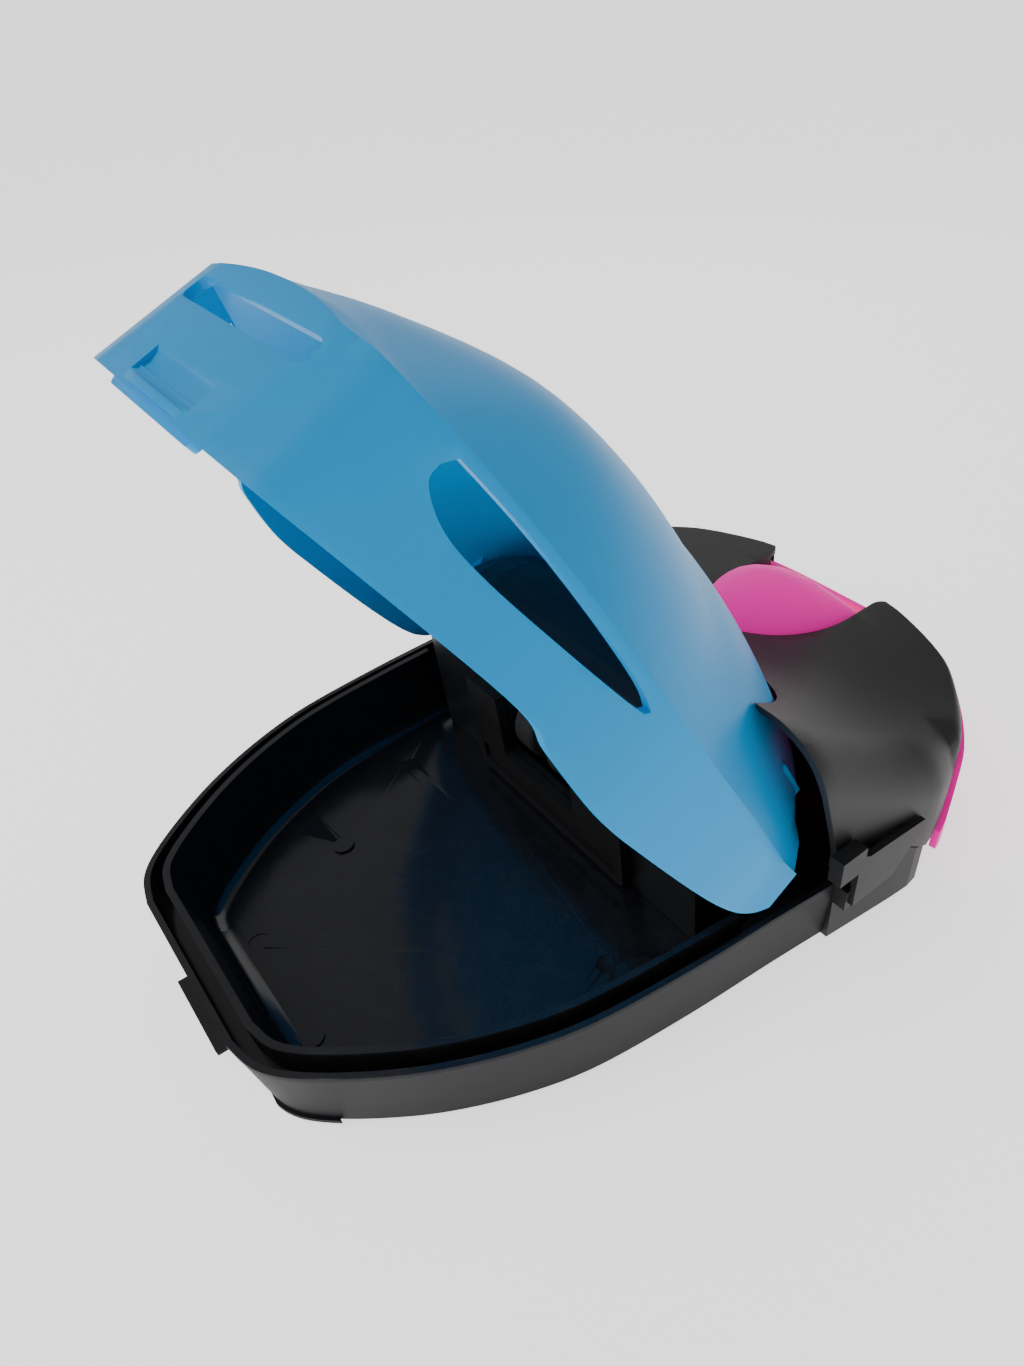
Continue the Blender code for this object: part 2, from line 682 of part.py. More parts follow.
def make_cover():
    at = (0, HINGE_Y, HINGE_Z)
    cover = box("hinge_cover", (-DRUM_HALF, GUARD_Y, FLOOR + GAP), (DRUM_HALF, SEAM_Y + 2, HINGE_Z), "slate_plastic")
    drum = turned("drum_tool", drum_profile(0.0, DRUM_HALF), centre=at, sides=40)
    keep = box("drum_keep", (-100, GUARD_Y, HINGE_Z - 3), (100, HINGE_Y + 60, HINGE_Z + 60))
    cut(drum, keep, "INTERSECT")
    room = box("cover_room", (-DRUM_HALF + WALL, GUARD_Y + WALL, -5), (DRUM_HALF - WALL, SEAM_Y + 20, HINGE_Z + 0.5))
    drum_in = turned("drum_room", drum_profile(WALL, DRUM_HALF - WALL), centre=at, sides=40)
    keep_in = box("drum_room_keep", (-100, GUARD_Y + WALL, HINGE_Z - 10), (100, HINGE_Y + 70, HINGE_Z + 60))
    cut(drum_in, keep_in, "INTERSECT")
    cut(cover, drum, "UNION")
    cut(cover, room)
    cut(cover, drum_in)
    window = prism("roller_window", rounded(-23, 20, 17, 47, 2.0), GUARD_Y - 6, GUARD_Y + 6, axis="Y")
    bore = rod("cover_pin_bore", at, PIN_R + GAP, 2 * DRUM_HALF + 20)
    cut(cover, window)
    cut(cover, bore)
    return cover


def make_guard():
    guard = prism("roller_guard", rounded(-42, 5, 42, 44, 3.0), GUARD_Y - 4.0, GUARD_Y - GAP, "dark_grey_plastic",
                  axis="Y")
    hole = prism("guard_window", rounded(-23, 19.5, 17, 60, 2.0), GUARD_Y - 10, GUARD_Y + 5, axis="Y")
    dish = prism("guard_dish", rounded(-38, 9, 38, 17, 1.5), GUARD_Y - 10, GUARD_Y - 3.0, axis="Y")
    cut(guard, hole)
    cut(guard, dish)
    return guard


# ---- Drive ----
def gear(name, teeth, low, high, at, bore, mat, phase=0.0, pivot=(0, 0, 0), hub=None):
    """Straight-toothed wheel round the X axis."""
    tip = MODULE * (teeth / 2 + 0.92)
    root = MODULE * (teeth / 2 - 1.12)
    loop = []
    for k in range(teeth):
        a = math.tau * (k + phase) / teeth
        w = math.tau / teeth
        for off, r in ((-0.30, root), (-0.13, tip), (0.13, tip), (0.30, root)):
            loop.append((at[0] + r * math.cos(a + off * w), at[1] + r * math.sin(a + off * w)))
    wheel = prism(name, loop, low, high, mat, axis="X")
    if hub:
        cut(wheel, rod(name + "_hub", ((hub[0] + hub[1]) / 2, at[0], at[1]), hub[2], hub[1] - hub[0]), "UNION")
    if bore:
        cut(wheel, rod(name + "_bore", ((low + high) / 2, at[0], at[1]), bore, high - low + 60), "DIFFERENCE")
    return wheel


def make_drive():
    feed = (FEED_Y, DRIVE_Z)
    idler = (IDLER_Y, DRIVE_Z)
    motor = (MOTOR_Y, DRIVE_Z)
    rod("feed_shaft", ((PLATE_L - 2 + 44) / 2, *feed), SHAFT_R, 44 - (PLATE_L - 2), "X", "steel")
    for side, x in (("left", -12.0), ("right", 6.0)):
        half = TYRE_W / 2
        hub = turned("feed_hub_" + side, [(-half - 1, SHAFT_R + 0.05), (half + 1, SHAFT_R + 0.05), (half + 1, 5.0),
                                          (half, 5.0), (half, 7.6), (-half, 7.6), (-half, 5.0), (-half - 1, 5.0)],
                     "white_nylon", (x, *feed), sides=24)
        del hub
        turned("feed_tyre_" + side, [(-half, 7.65), (half, 7.65), (half, TYRE_R - 0.8), (half - 0.8, TYRE_R),
                                     (-half + 0.8, TYRE_R), (-half, TYRE_R - 0.8)], "rubber", (x, *feed), sides=32)
    gear("feed_gear", FEED_TEETH, 38, 42, feed, SHAFT_R + 0.05, "white_nylon", 0.0)
    small = gear("idler_gear", SMALL_TEETH, 37.6, 44.6, idler, None, "white_nylon", 0.5)
    large = gear("idler_large", LARGE_TEETH, 44.4, 48.0, idler, None, None, 0.0)
    cut(small, large, "UNION")
    cut(small, rod("idler_bore", (42, *idler), 1.5 + RUN, 40), "DIFFERENCE")
    rod("idler_axle", ((PLATE_R + 0.2 + PLATE_OUT + PLATE_T) / 2, *idler), 1.5, PLATE_OUT + PLATE_T - PLATE_R - 0.2, "X",
        "steel")
    gear("motor_pinion", PINION_TEETH, 44.2, 48.4, motor, 1.05, "brass", 0.5)
    body = turned("motor", [(PLATE_R - 0.3 - 30.0, 0), (PLATE_R - 30.3, 8.6), (PLATE_R - 29, 10.2), (PLATE_R - 0.3, 10.2),
                            (PLATE_R - 0.3, 3.0), (PLATE_R + 1.6, 3.0), (PLATE_R + 1.6, 1.0), (49.0, 1.0), (49.0, 0)],
                  "steel", (0, *motor), sides=24)
    for side in (-1, 1):
        trim = box("motor_flat_%d" % (side + 1), (-10, MOTOR_Y - 20, DRIVE_Z + side * 7.7 - (20 if side < 0 else 0)),
                   (PLATE_R + 0.4, MOTOR_Y + 20, DRIVE_Z + side * 7.7 + (20 if side > 0 else 0)))
        cut(body, trim)
    frame = box("mechanism_frame", (PLATE_L - PLATE_T, 124.2, FLOOR + GAP), (PLATE_OUT + PLATE_T, MOTOR_Y + 11, 46.5),
                "dark_grey_plastic")
    low, high = 118, MOTOR_Y + 20
    cut(frame, box("frame_room_a", (PLATE_L, low, FLOOR + GAP + 2), (PLATE_R, high, 60)))
    cut(frame, box("frame_room_b", (PLATE_R + PLATE_T, low, FLOOR + GAP + 2), (PLATE_OUT, high, 60)))
    cut(frame, box("frame_trim_l", (PLATE_L - 9, 142, 12), (PLATE_L + 1, high, 60)))
    cut(frame, rod("bush_bores", (0, *feed), 3.6 + 0.03, 150))
    cut(frame, rod("idler_axle_bore", (60, *idler), 1.5 + 0.03, 70))
    cut(frame, rod("motor_nose_bore", (31, *motor), 3.1, 20))
    for side, x in (("left", PLATE_L - PLATE_T), ("right", PLATE_R)):
        turned("shaft_bush_" + side, [(0, SHAFT_R + RUN), (PLATE_T, SHAFT_R + RUN), (PLATE_T, 3.6), (0, 3.6)], "brass",
               (x, *feed), sides=24)


# ---- Button ----
def tongue_rows(by):
    rows = []
    line = ((188, 52), (200, 58), (216, 60.3), (230, 57.4), (245, 48), (256, 33), (LENGTH + BACK_BULGE, 27))
    for y in (NOTCH_APEX + BUTTON_GAP + by, 190.6 + by, 193.5 + by, 198, 204, 211, 218, 225, 232, 239, 245, 250, 254,
              LENGTH + BACK_BULGE - by):
        deep = NOTCH_Y - NOTCH_APEX - BUTTON_GAP - by
        share = min(max((NOTCH_Y - y) / deep, 0.0), 1.0)
        half = (NOTCH_HALF - BUTTON_GAP - by) * math.sqrt(max(1 - share * share, 0.0004))
        top = blend_at(line, y) - by
        edge = min(blend_at(SADDLE, y) - 6.6, top - 0.6)
        edge = max(edge, top - 16)
        edge = edge - by if top - by < edge else edge
        base = 29.0 if by == 0 else 14.0
        base = min(base, edge - 2)
        loop = [(half, y, base)]
        for k in range(13):
            a = math.radians(180 * k / 12)
            x = half * math.cos(a)
            loop.append((x, y, edge + (top - edge) * math.sin(a) ** 0.9))
        loop.append((-half, y, base))
        rows.append(loop)
    return rows


def make_button():
    button = grid_solid("push_button", tongue_rows(0.0), "magenta_plastic")
    hollow = grid_solid("tongue_hollow", tongue_rows(2.4)[1:])
    rear = [p for p in half_plan(False, True, 3) if p.y > 199.5]

    def band(by):
        out = []
        for p in rear:
            n = (Vector((0, 190)) - p).normalized()
            out.append(p + n * (by - BACK_BULGE * min((p.y - 190) / 14, 1.0)))
        return out

    outer = band(0.0)
    inner = band(2.4)
    loop = outer + [Vector((-p.x, p.y)) for p in reversed(outer[:-1])]
    back = inner + [Vector((-p.x, p.y)) for p in reversed(inner[:-1])]
    apron = prism("apron_tool", [tuple(p) for p in loop] + [tuple(p) for p in reversed(back)], APRON_LOW,
                  SHELL_LOW - 0.9)
    line = [(y, blend_at(SHELL_EDGE, y) - 2.6) for y in (190, 194, 198, 203, 207, 211, 215, 218)]
    cut(apron, prism("apron_trim", line + [(228, SHELL_LOW - 0.9), (228, 90), (190, 90)], -120, 120, axis="X"))
    cut(button, hollow)
    cut(button, apron, "UNION")
    seat = box("seat_tool", (-18.4, 208, 34), (18.4, 226, 36.4))
    cut(button, seat, "UNION")
    stem = rod("stem_tool", (0, 216, 35.6), 2.4, 5.6 - 2.8, "Z")
    cut(button, stem, "UNION")
    return button


def make_power():
    top = CELL_Z + CELL_R + 2.2
    back = CELL_Y + 2 * CELL_PITCH + 9.6
    holder = box("battery_holder", (-33, CELL_Y - 9.6, FLOOR + GAP), (33, back, top + 1.6), "gloss_black_plastic")
    cut(holder, box("holder_room", (-30.6, CELL_Y - 8.0, -3), (30.6, back - 1.6, top)))
    for k in range(3):
        y = CELL_Y + k * CELL_PITCH
        flip = 1 if k % 2 == 0 else -1
        nub = flip * (CELL_L / 2)
        turned("battery_cell_%d" % (k + 1), [(-CELL_L / 2, 0), (-CELL_L / 2, CELL_R), (CELL_L / 2 - 1.6, CELL_R),
                                             (CELL_L / 2 - 1.2, 2.7), (CELL_L / 2, 2.7), (CELL_L / 2, 0)]
               if flip > 0 else [(-CELL_L / 2, 0), (-CELL_L / 2, 2.7), (-CELL_L / 2 + 1.2, 2.7),
                                 (-CELL_L / 2 + 1.6, CELL_R), (CELL_L / 2, CELL_R), (CELL_L / 2, 0)],
               "cell_wrap", (0, y, CELL_Z), sides=24)
        del nub
    for side, x in (("left", -1), ("right", 1)):
        plate = box("contact_plate_" + side, (min(x * 30.3, x * 29.6), CELL_Y - 7, 5), (max(x * 30.3, x * 29.6),
                    CELL_Y + 2 * CELL_PITCH + 7, 17.6), "steel")
        for k in range(3):
            bump = rod("bump_%s_%d" % (side, k), (x * 27.6, CELL_Y + k * CELL_PITCH, CELL_Z), 2.2 if x < 0 else 3.6,
                       4.6, "X", None, 3.6 if x < 0 else 2.2, 12)
            cut(plate, bump, "UNION")
    box("battery_door", (-30.6, CELL_Y - 8.6, BASE), (30.6, CELL_Y + 2 * CELL_PITCH + 8.6, FLOOR - 0.2), "dark_grey_plastic")
    return top + 1.6


def make_controls(base):
    box("control_board", (-8.5, 206, base + GAP), (8.5, 227, base + GAP + 1.6), "green_board")
    deck = base + GAP + 1.6
    body = box("micro_switch", (-3, 213, deck + 0.2), (3, 219, deck + 3.4), "gloss_black_plastic")
    cut(body, rod("switch_bore", (0, 216, deck + 4), 1.8, 6.2, "Z"))
    rod("switch_plunger", (0, 216, deck + 3.3), 1.6, 2.0, "Z", "white_nylon")
    for side, x in (("left", -13.6), ("right", 13.6)):
        coil("button_spring_" + side, (x, 216), base + 0.3, 33.7)
    return deck


def coil(name, at, low, high):
    """Return spring of round wire."""
    turns, radius, wire, steps = 5, 3.6, 0.45, 10
    bm = bmesh.new()
    rings = []
    count = turns * steps
    for k in range(count + 1):
        a = math.tau * k / steps
        z = low + wire + (high - low - 2 * wire) * k / count
        mid = Vector((radius * math.cos(a), radius * math.sin(a), z))
        out = Vector((math.cos(a), math.sin(a), 0))
        ring = []
        for n in range(5):
            b = math.tau * n / 5
            ring.append(bm.verts.new(mid + out * wire * math.cos(b) + Vector((0, 0, wire * math.sin(b)))))
        rings.append(ring)
    for a, b in zip(rings, rings[1:]):
        for n in range(5):
            m = (n + 1) % 5
            bm.faces.new((a[n], a[m], b[m], b[n]))
    bm.faces.new(rings[0])
    bm.faces.new(rings[-1])
    bmesh.ops.translate(bm, verts=bm.verts, vec=(at[0], at[1], 0))
    return finish(bm, name, "steel")


def make_fixings():
    for side, x in (("left", -1), ("right", 1)):
        pin = rod("hinge_pin_" + side, (x * (LUG_OUT + 1 + 63) / 2, HINGE_Y, HINGE_Z), PIN_R, LUG_OUT + 1 - 63, "X",
                  "steel")
        cut(pin, rod("pin_head_" + side, (x * (LUG_OUT + 1.3), HINGE_Y, HINGE_Z), 3.6, 1.8), "UNION")


def make_underside(tray, housing):
    spots = (("1", -50, 30, tray), ("2", 50, 30, tray), ("3", -78, 184, housing), ("4", 78, 184, housing))
    for tag, x, y, host in spots:
        cut(host, rod("foot_well_" + tag, (x, y, BASE), 6.3, 2.0, "Z"))
        rod("foot_" + tag, (x, y, 0.75), 6.0, 1.5, "Z", "rubber")
    screws = (("1", -60, 60, tray), ("2", 60, 60, tray), ("3", -62, 205, housing), ("4", 62, 205, housing))
    for tag, x, y, host in screws:
        cut(host, rod("screw_well_" + tag, (x, y, BASE), 3.6, 2.2, "Z"))
        screw = rod("housing_screw_" + tag, (x, y, 1.1), 3.2, 1.0, "Z", "steel")
        cut(screw, box("slot_a_" + tag, (x - 2, y - 0.4, 0), (x + 2, y + 0.4, 1.0)))
        cut(screw, box("slot_b_" + tag, (x - 0.4, y - 2, 0), (x + 0.4, y + 2, 1.0)))
    door = bpy.data.objects["battery_door"]
    cut(door, rod("door_well", (0, CELL_Y - 5.4, BASE), 2.8, 1.8, "Z"))
    screw = rod("battery_door_screw", (0, CELL_Y - 5.4, 0.95), 2.4, 0.9, "Z", "steel", sides=16)
    cut(screw, box("door_slot", (-1.6, CELL_Y - 5.8, 0), (1.6, CELL_Y - 5.0, 0.9)))


sweep_space = make_sweep_cutter()
tray_part = make_tray()
housing_part = make_housing()
make_shell(sweep_space)
make_cover()
make_guard()
make_drive()
make_button()
deck_base = make_power()
make_controls(deck_base)
make_fixings()
make_underside(tray_part, housing_part)
make_hood()
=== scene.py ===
import json
import math
import bpy
from mathutils import Matrix, Vector


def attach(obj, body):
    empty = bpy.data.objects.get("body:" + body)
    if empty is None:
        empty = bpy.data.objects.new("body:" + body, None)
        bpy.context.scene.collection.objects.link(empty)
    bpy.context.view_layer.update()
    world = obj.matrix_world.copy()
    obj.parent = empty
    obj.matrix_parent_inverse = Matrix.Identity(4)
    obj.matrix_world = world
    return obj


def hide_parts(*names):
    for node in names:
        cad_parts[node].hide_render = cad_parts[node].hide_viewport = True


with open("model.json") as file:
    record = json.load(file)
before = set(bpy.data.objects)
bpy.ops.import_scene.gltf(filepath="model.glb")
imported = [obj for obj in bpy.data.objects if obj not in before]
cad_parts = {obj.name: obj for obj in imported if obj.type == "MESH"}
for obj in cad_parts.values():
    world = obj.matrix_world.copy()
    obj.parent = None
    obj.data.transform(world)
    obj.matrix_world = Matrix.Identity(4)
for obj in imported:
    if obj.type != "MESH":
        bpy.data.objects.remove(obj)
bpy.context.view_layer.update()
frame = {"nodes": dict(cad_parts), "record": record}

print("frame loaded", len(frame["nodes"]), "parts")

mm = 0.001
midY = 127.0  # the casing's front wall is y = 0 in the sizes below, in millimetres
hingeY, hingeZ = 143.0, 48.5  # the line of the hood's two pins
openTurn = 58.3  # degrees from shut to the open rest
hingePoint = Vector((0, (hingeY - midY) * mm, hingeZ * mm))
swing = (Matrix.Translation(hingePoint) @ Matrix.Rotation(math.radians(-openTurn), 4, "X")
         @ Matrix.Translation(-hingePoint))


def clearSelection():
    if bpy.context.object and bpy.context.object.mode != "OBJECT":
        bpy.ops.object.mode_set(mode="OBJECT")
    bpy.ops.object.select_all(action="DESELECT")


def activate(piece):
    clearSelection()
    piece.select_set(True)
    bpy.context.view_layer.objects.active = piece


def smoothRun(points, steps):  # a smooth line through the points
    run = []
    last = len(points) - 1
    for i in range(last):
        a, b = Vector(points[max(i - 1, 0)]), Vector(points[i])
        c, d = Vector(points[i + 1]), Vector(points[min(i + 2, last)])
        for k in range(steps):
            t = k / steps
            run.append(0.5 * (2 * b + (c - a) * t + (2 * a - 5 * b + 4 * c - d) * t * t
                              + (3 * b - a - 3 * c + d) * t ** 3))
    return run + [Vector(points[last])]


runStore = {}


def heightAlong(points, y):  # value at y on a smooth line of (y, value)
    if points not in runStore:
        runStore[points] = smoothRun(points, 24)
    run = runStore[points]
    if y <= run[0][0]:
        return run[0][1]
    for a, b in zip(run, run[1:]):
        if y <= b[0]:
            return a[1] + (b[1] - a[1]) * (y - a[0]) / (b[0] - a[0])
    return run[-1][1]


def rollGrid(name, rows, closed=True, ends=True):  # a grid primitive laid over rows of points
    clearSelection()
    wide = len(rows[0])
    cols = wide + 1 if closed else wide
    bpy.ops.mesh.primitive_grid_add(x_subdivisions=cols - 1, y_subdivisions=len(rows) - 1, size=1)
    piece = bpy.context.object
    piece.name = piece.data.name = name
    spots = [vertex.co for vertex in piece.data.vertices]
    order = sorted(range(len(spots)), key=lambda i: (round(spots[i].y, 6), round(spots[i].x, 6)))
    for k, i in enumerate(order):
        x, y, z = rows[k // cols][(k % cols) % wide]
        piece.data.vertices[i].co = (x * mm, (y - midY) * mm, z * mm)
    bpy.ops.object.mode_set(mode="EDIT")
    bpy.ops.mesh.select_all(action="SELECT")
    bpy.ops.mesh.remove_doubles(threshold=0.000002)
    if ends:
        bpy.ops.mesh.select_all(action="DESELECT")
        bpy.ops.mesh.select_mode(type="EDGE")
        bpy.ops.mesh.select_non_manifold()
        bpy.ops.mesh.fill_holes(sides=0)
    bpy.ops.mesh.select_all(action="SELECT")
    bpy.ops.mesh.normals_make_consistent(inside=False)
    bpy.ops.mesh.select_mode(type="VERT")
    bpy.ops.object.mode_set(mode="OBJECT")
    return piece


def bar(name, outline, low, high, axis="X"):  # a filled outline extruded along an axis
    clearSelection()
    bpy.ops.mesh.primitive_circle_add(vertices=len(outline), radius=1, fill_type="NGON")
    piece = bpy.context.object
    piece.name = piece.data.name = name

    def spot(p, h):
        flat = {"X": (h, p[0], p[1]), "Y": (p[0], h, p[1]), "Z": (p[0], p[1], h)}[axis]
        return Vector((flat[0] * mm, (flat[1] - midY) * mm, flat[2] * mm))

    for vertex, p in zip(piece.data.vertices, outline):
        vertex.co = spot(p, low)
    push = spot((0, 0), high) - spot((0, 0), low)
    bpy.ops.object.mode_set(mode="EDIT")
    bpy.ops.mesh.select_all(action="SELECT")
    bpy.ops.mesh.extrude_region_move(TRANSFORM_OT_translate={"value": push})
    bpy.ops.mesh.select_all(action="SELECT")
    bpy.ops.mesh.normals_make_consistent(inside=False)
    bpy.ops.object.mode_set(mode="OBJECT")
    return piece


def block(name, low, high, soft=0.0):  # a cube with its edges eased
    clearSelection()
    size = [(b - a) * mm for a, b in zip(low, high)]
    at = [(a + b) / 2 * mm for a, b in zip(low, high)]
    at[1] -= midY * mm
    bpy.ops.mesh.primitive_cube_add(size=1, location=at, scale=size)
    piece = bpy.context.object
    piece.name = piece.data.name = name
    bpy.ops.object.transform_apply(location=True, rotation=True, scale=True)
    if soft:
        bpy.ops.object.mode_set(mode="EDIT")
        bpy.ops.mesh.select_all(action="SELECT")
        bpy.ops.mesh.bevel(offset=soft * mm, segments=4)
        bpy.ops.object.mode_set(mode="OBJECT")
    return piece


def drum(name, at, radius, depth, axis="Z", sides=48):
    clearSelection()
    turn = {"X": (0, math.pi / 2, 0), "Y": (math.pi / 2, 0, 0), "Z": (0, 0, 0)}[axis]
    middle = (at[0] * mm, (at[1] - midY) * mm, at[2] * mm)
    bpy.ops.mesh.primitive_cylinder_add(vertices=sides, radius=radius * mm, depth=depth * mm,
                                        rotation=turn, location=middle)
    piece = bpy.context.object
    piece.name = piece.data.name = name
    bpy.ops.object.transform_apply(location=True, rotation=True, scale=True)
    return piece


def combine(piece, tool, how="DIFFERENCE"):
    activate(piece)
    step = piece.modifiers.new("combine", "BOOLEAN")
    step.operation = how
    step.solver = "EXACT"
    step.object = tool
    bpy.ops.object.modifier_apply(modifier=step.name)
    bpy.data.objects.remove(tool, do_unlink=True)


def easeEdges(piece, width, segments=3, angle=38):
    activate(piece)
    step = piece.modifiers.new("ease", "BEVEL")
    step.width = width * mm
    step.segments = segments
    step.limit_method = "ANGLE"
    step.angle_limit = math.radians(angle)
    step.use_clamp_overlap = True
    bpy.ops.object.modifier_apply(modifier=step.name)


def finishPiece(piece, body, nodes, material, smooth=35):
    activate(piece)
    bpy.ops.object.shade_smooth_by_angle(angle=math.radians(smooth))
    piece.data.materials.clear()
    piece.data.materials.append(material)
    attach(piece, body)
    if nodes:
        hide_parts(*nodes)
    print("finished", piece.name, len(piece.data.polygons))


# ---- materials ----
def newGroup(name, outputs):
    group = bpy.data.node_groups.new(name, "ShaderNodeTree")
    for label, kind in outputs:
        group.interface.new_socket(name=label, in_out="OUTPUT", socket_type=kind)
    return group, group.nodes.new("NodeGroupOutput")


def objectNoise(tree, scale, detail=3.0, rough=0.55, stretch=None):
    place = tree.nodes.new("ShaderNodeTexCoord")
    noise = tree.nodes.new("ShaderNodeTexNoise")
    noise.inputs["Scale"].default_value = scale
    noise.inputs["Detail"].default_value = detail
    noise.inputs["Roughness"].default_value = rough
    if stretch:
        turn = tree.nodes.new("ShaderNodeMapping")
        turn.inputs["Scale"].default_value = stretch
        tree.links.new(place.outputs["Object"], turn.inputs["Vector"])
        tree.links.new(turn.outputs["Vector"], noise.inputs["Vector"])
    else:
        tree.links.new(place.outputs["Object"], noise.inputs["Vector"])
    return noise


def spread(tree, source, low, high, toLow, toHigh):
    step = tree.nodes.new("ShaderNodeMapRange")
    for label, value in (("From Min", low), ("From Max", high), ("To Min", toLow), ("To Max", toHigh)):
        step.inputs[label].default_value = value
    tree.links.new(source, step.inputs["Value"])
    return step.outputs["Result"]


def makeMouldGrain():  # height of the fine spark-eroded skin, plus slow flow waves
    group, out = newGroup("mouldGrain", (("Height", "NodeSocketFloat"),))
    fine = objectNoise(group, 2600, 2.0)
    slow = objectNoise(group, 24, 1.0)
    add = group.nodes.new("ShaderNodeMath")
    add.operation = "MULTIPLY_ADD"
    group.links.new(slow.outputs["Fac"], add.inputs[0])
    add.inputs[1].default_value = 0.5
    group.links.new(fine.outputs["Fac"], add.inputs[2])
    group.links.new(add.outputs["Value"], out.inputs["Height"])
    return group


def makeHandling():  # mask of rubbed patches and hairline scuffs
    group, out = newGroup("handlingMarks", (("Mask", "NodeSocketFloat"), ("Cloud", "NodeSocketFloat")))
    rub = objectNoise(group, 30, 5.0, 0.6)
    hair = objectNoise(group, 240, 2.0, 0.5, (1.0, 0.06, 0.5))
    lines = spread(group, hair.outputs["Fac"], 0.66, 0.72, 0.0, 1.0)
    patches = spread(group, rub.outputs["Fac"], 0.45, 0.7, 0.0, 1.0)
    both = group.nodes.new("ShaderNodeMath")
    both.operation = "MULTIPLY"
    group.links.new(lines, both.inputs[0])
    group.links.new(patches, both.inputs[1])
    group.links.new(both.outputs["Value"], out.inputs["Mask"])
    group.links.new(rub.outputs["Fac"], out.inputs["Cloud"])
    return group


def makeEdgeRub():  # mask of exposed edges
    group, out = newGroup("edgeRub", (("Mask", "NodeSocketFloat"),))
    shape = group.nodes.new("ShaderNodeNewGeometry")
    edge = spread(group, shape.outputs["Pointiness"], 0.52, 0.62, 0.0, 1.0)
    broken = objectNoise(group, 160, 4.0, 0.6)
    patchy = spread(group, broken.outputs["Fac"], 0.4, 0.65, 0.25, 1.0)
    both = group.nodes.new("ShaderNodeMath")
    both.operation = "MULTIPLY"
    group.links.new(edge, both.inputs[0])
    group.links.new(patchy, both.inputs[1])
    group.links.new(both.outputs["Value"], out.inputs["Mask"])
    return group


mouldGrain = makeMouldGrain()
handlingMarks = makeHandling()
edgeRub = makeEdgeRub()


def mouldedPlastic(name, colour, deep, worn, rough, roughSpan, grain, through=0.0):
    material = bpy.data.materials.new(name)
    material.use_nodes = True
    tree = material.node_tree
    shader = tree.nodes["Principled BSDF"]
    marks = tree.nodes.new("ShaderNodeGroup")
    marks.node_tree = handlingMarks
    skin = tree.nodes.new("ShaderNodeGroup")
    skin.node_tree = mouldGrain
    rim = tree.nodes.new("ShaderNodeGroup")
    rim.node_tree = edgeRub
    blend = tree.nodes.new("ShaderNodeMix")
    blend.data_type = "RGBA"
    blend.inputs["A"].default_value = (*colour, 1)
    blend.inputs["B"].default_value = (*deep, 1)
    tree.links.new(spread(tree, marks.outputs["Cloud"], 0.35, 0.7, 0.0, 1.0), blend.inputs["Factor"])
    wear = tree.nodes.new("ShaderNodeMix")
    wear.data_type = "RGBA"
    wear.inputs["B"].default_value = (*worn, 1)
    tree.links.new(blend.outputs["Result"], wear.inputs["A"])
    tree.links.new(spread(tree, rim.outputs["Mask"], 0.0, 1.0, 0.0, 0.45), wear.inputs["Factor"])
    tree.links.new(wear.outputs["Result"], shader.inputs["Base Color"])
    dull = spread(tree, marks.outputs["Mask"], 0.0, 1.0, rough, rough + roughSpan)
    tree.links.new(dull, shader.inputs["Roughness"])
    bump = tree.nodes.new("ShaderNodeBump")
    bump.inputs["Strength"].default_value = grain
    bump.inputs["Distance"].default_value = 0.00012
    tree.links.new(skin.outputs["Height"], bump.inputs["Height"])
    tree.links.new(bump.outputs["Normal"], shader.inputs["Normal"])
    shader.inputs["IOR"].default_value = 1.5
    shader.inputs["Subsurface Weight"].default_value = through
    shader.inputs["Subsurface Radius"].default_value = (0.002, 0.002, 0.002)
    return material


def satinWalls(material, rough):  # upright faces are dull from the mould, level ones stay glossy
    tree = material.node_tree
    shader = tree.nodes["Principled BSDF"]
    shape = tree.nodes.new("ShaderNodeNewGeometry")
    apart = tree.nodes.new("ShaderNodeSeparateXYZ")
    tree.links.new(shape.outputs["True Normal"], apart.inputs["Vector"])
    level = tree.nodes.new("ShaderNodeMath")
    level.operation = "ABSOLUTE"
    tree.links.new(apart.outputs["Z"], level.inputs[0])
    before = shader.inputs["Roughness"].links[0].from_socket
    pick = tree.nodes.new("ShaderNodeMix")
    pick.inputs["A"].default_value = rough
    tree.links.new(spread(tree, level.outputs["Value"], 0.3, 0.7, 0.0, 1.0), pick.inputs["Factor"])
    tree.links.new(before, pick.inputs["B"])
    tree.links.new(pick.outputs["Result"], shader.inputs["Roughness"])
    shine = spread(tree, level.outputs["Value"], 0.3, 0.7, 0.07, 0.4)
    tree.links.new(shine, shader.inputs["Specular IOR Level"])
    return material


def turnedMetal(name, colour, rough, stretch):
    material = bpy.data.materials.new(name)
    material.use_nodes = True
    tree = material.node_tree
    shader = tree.nodes["Principled BSDF"]
    shader.inputs["Metallic"].default_value = 1.0
    lines = objectNoise(tree, 900, 3.0, 0.6, stretch)
    tone = tree.nodes.new("ShaderNodeMix")
    tone.data_type = "RGBA"
    tone.inputs["A"].default_value = (*colour, 1)
    tone.inputs["B"].default_value = (*[c * 0.7 for c in colour], 1)
    tree.links.new(lines.outputs["Fac"], tone.inputs["Factor"])
    tree.links.new(tone.outputs["Result"], shader.inputs["Base Color"])
    dull = spread(tree, lines.outputs["Fac"], 0.3, 0.7, rough, rough + 0.18)
    tree.links.new(dull, shader.inputs["Roughness"])
    bump = tree.nodes.new("ShaderNodeBump")
    bump.inputs["Strength"].default_value = 0.2
    bump.inputs["Distance"].default_value = 0.0001
    tree.links.new(lines.outputs["Fac"], bump.inputs["Height"])
    tree.links.new(bump.outputs["Normal"], shader.inputs["Normal"])
    return material


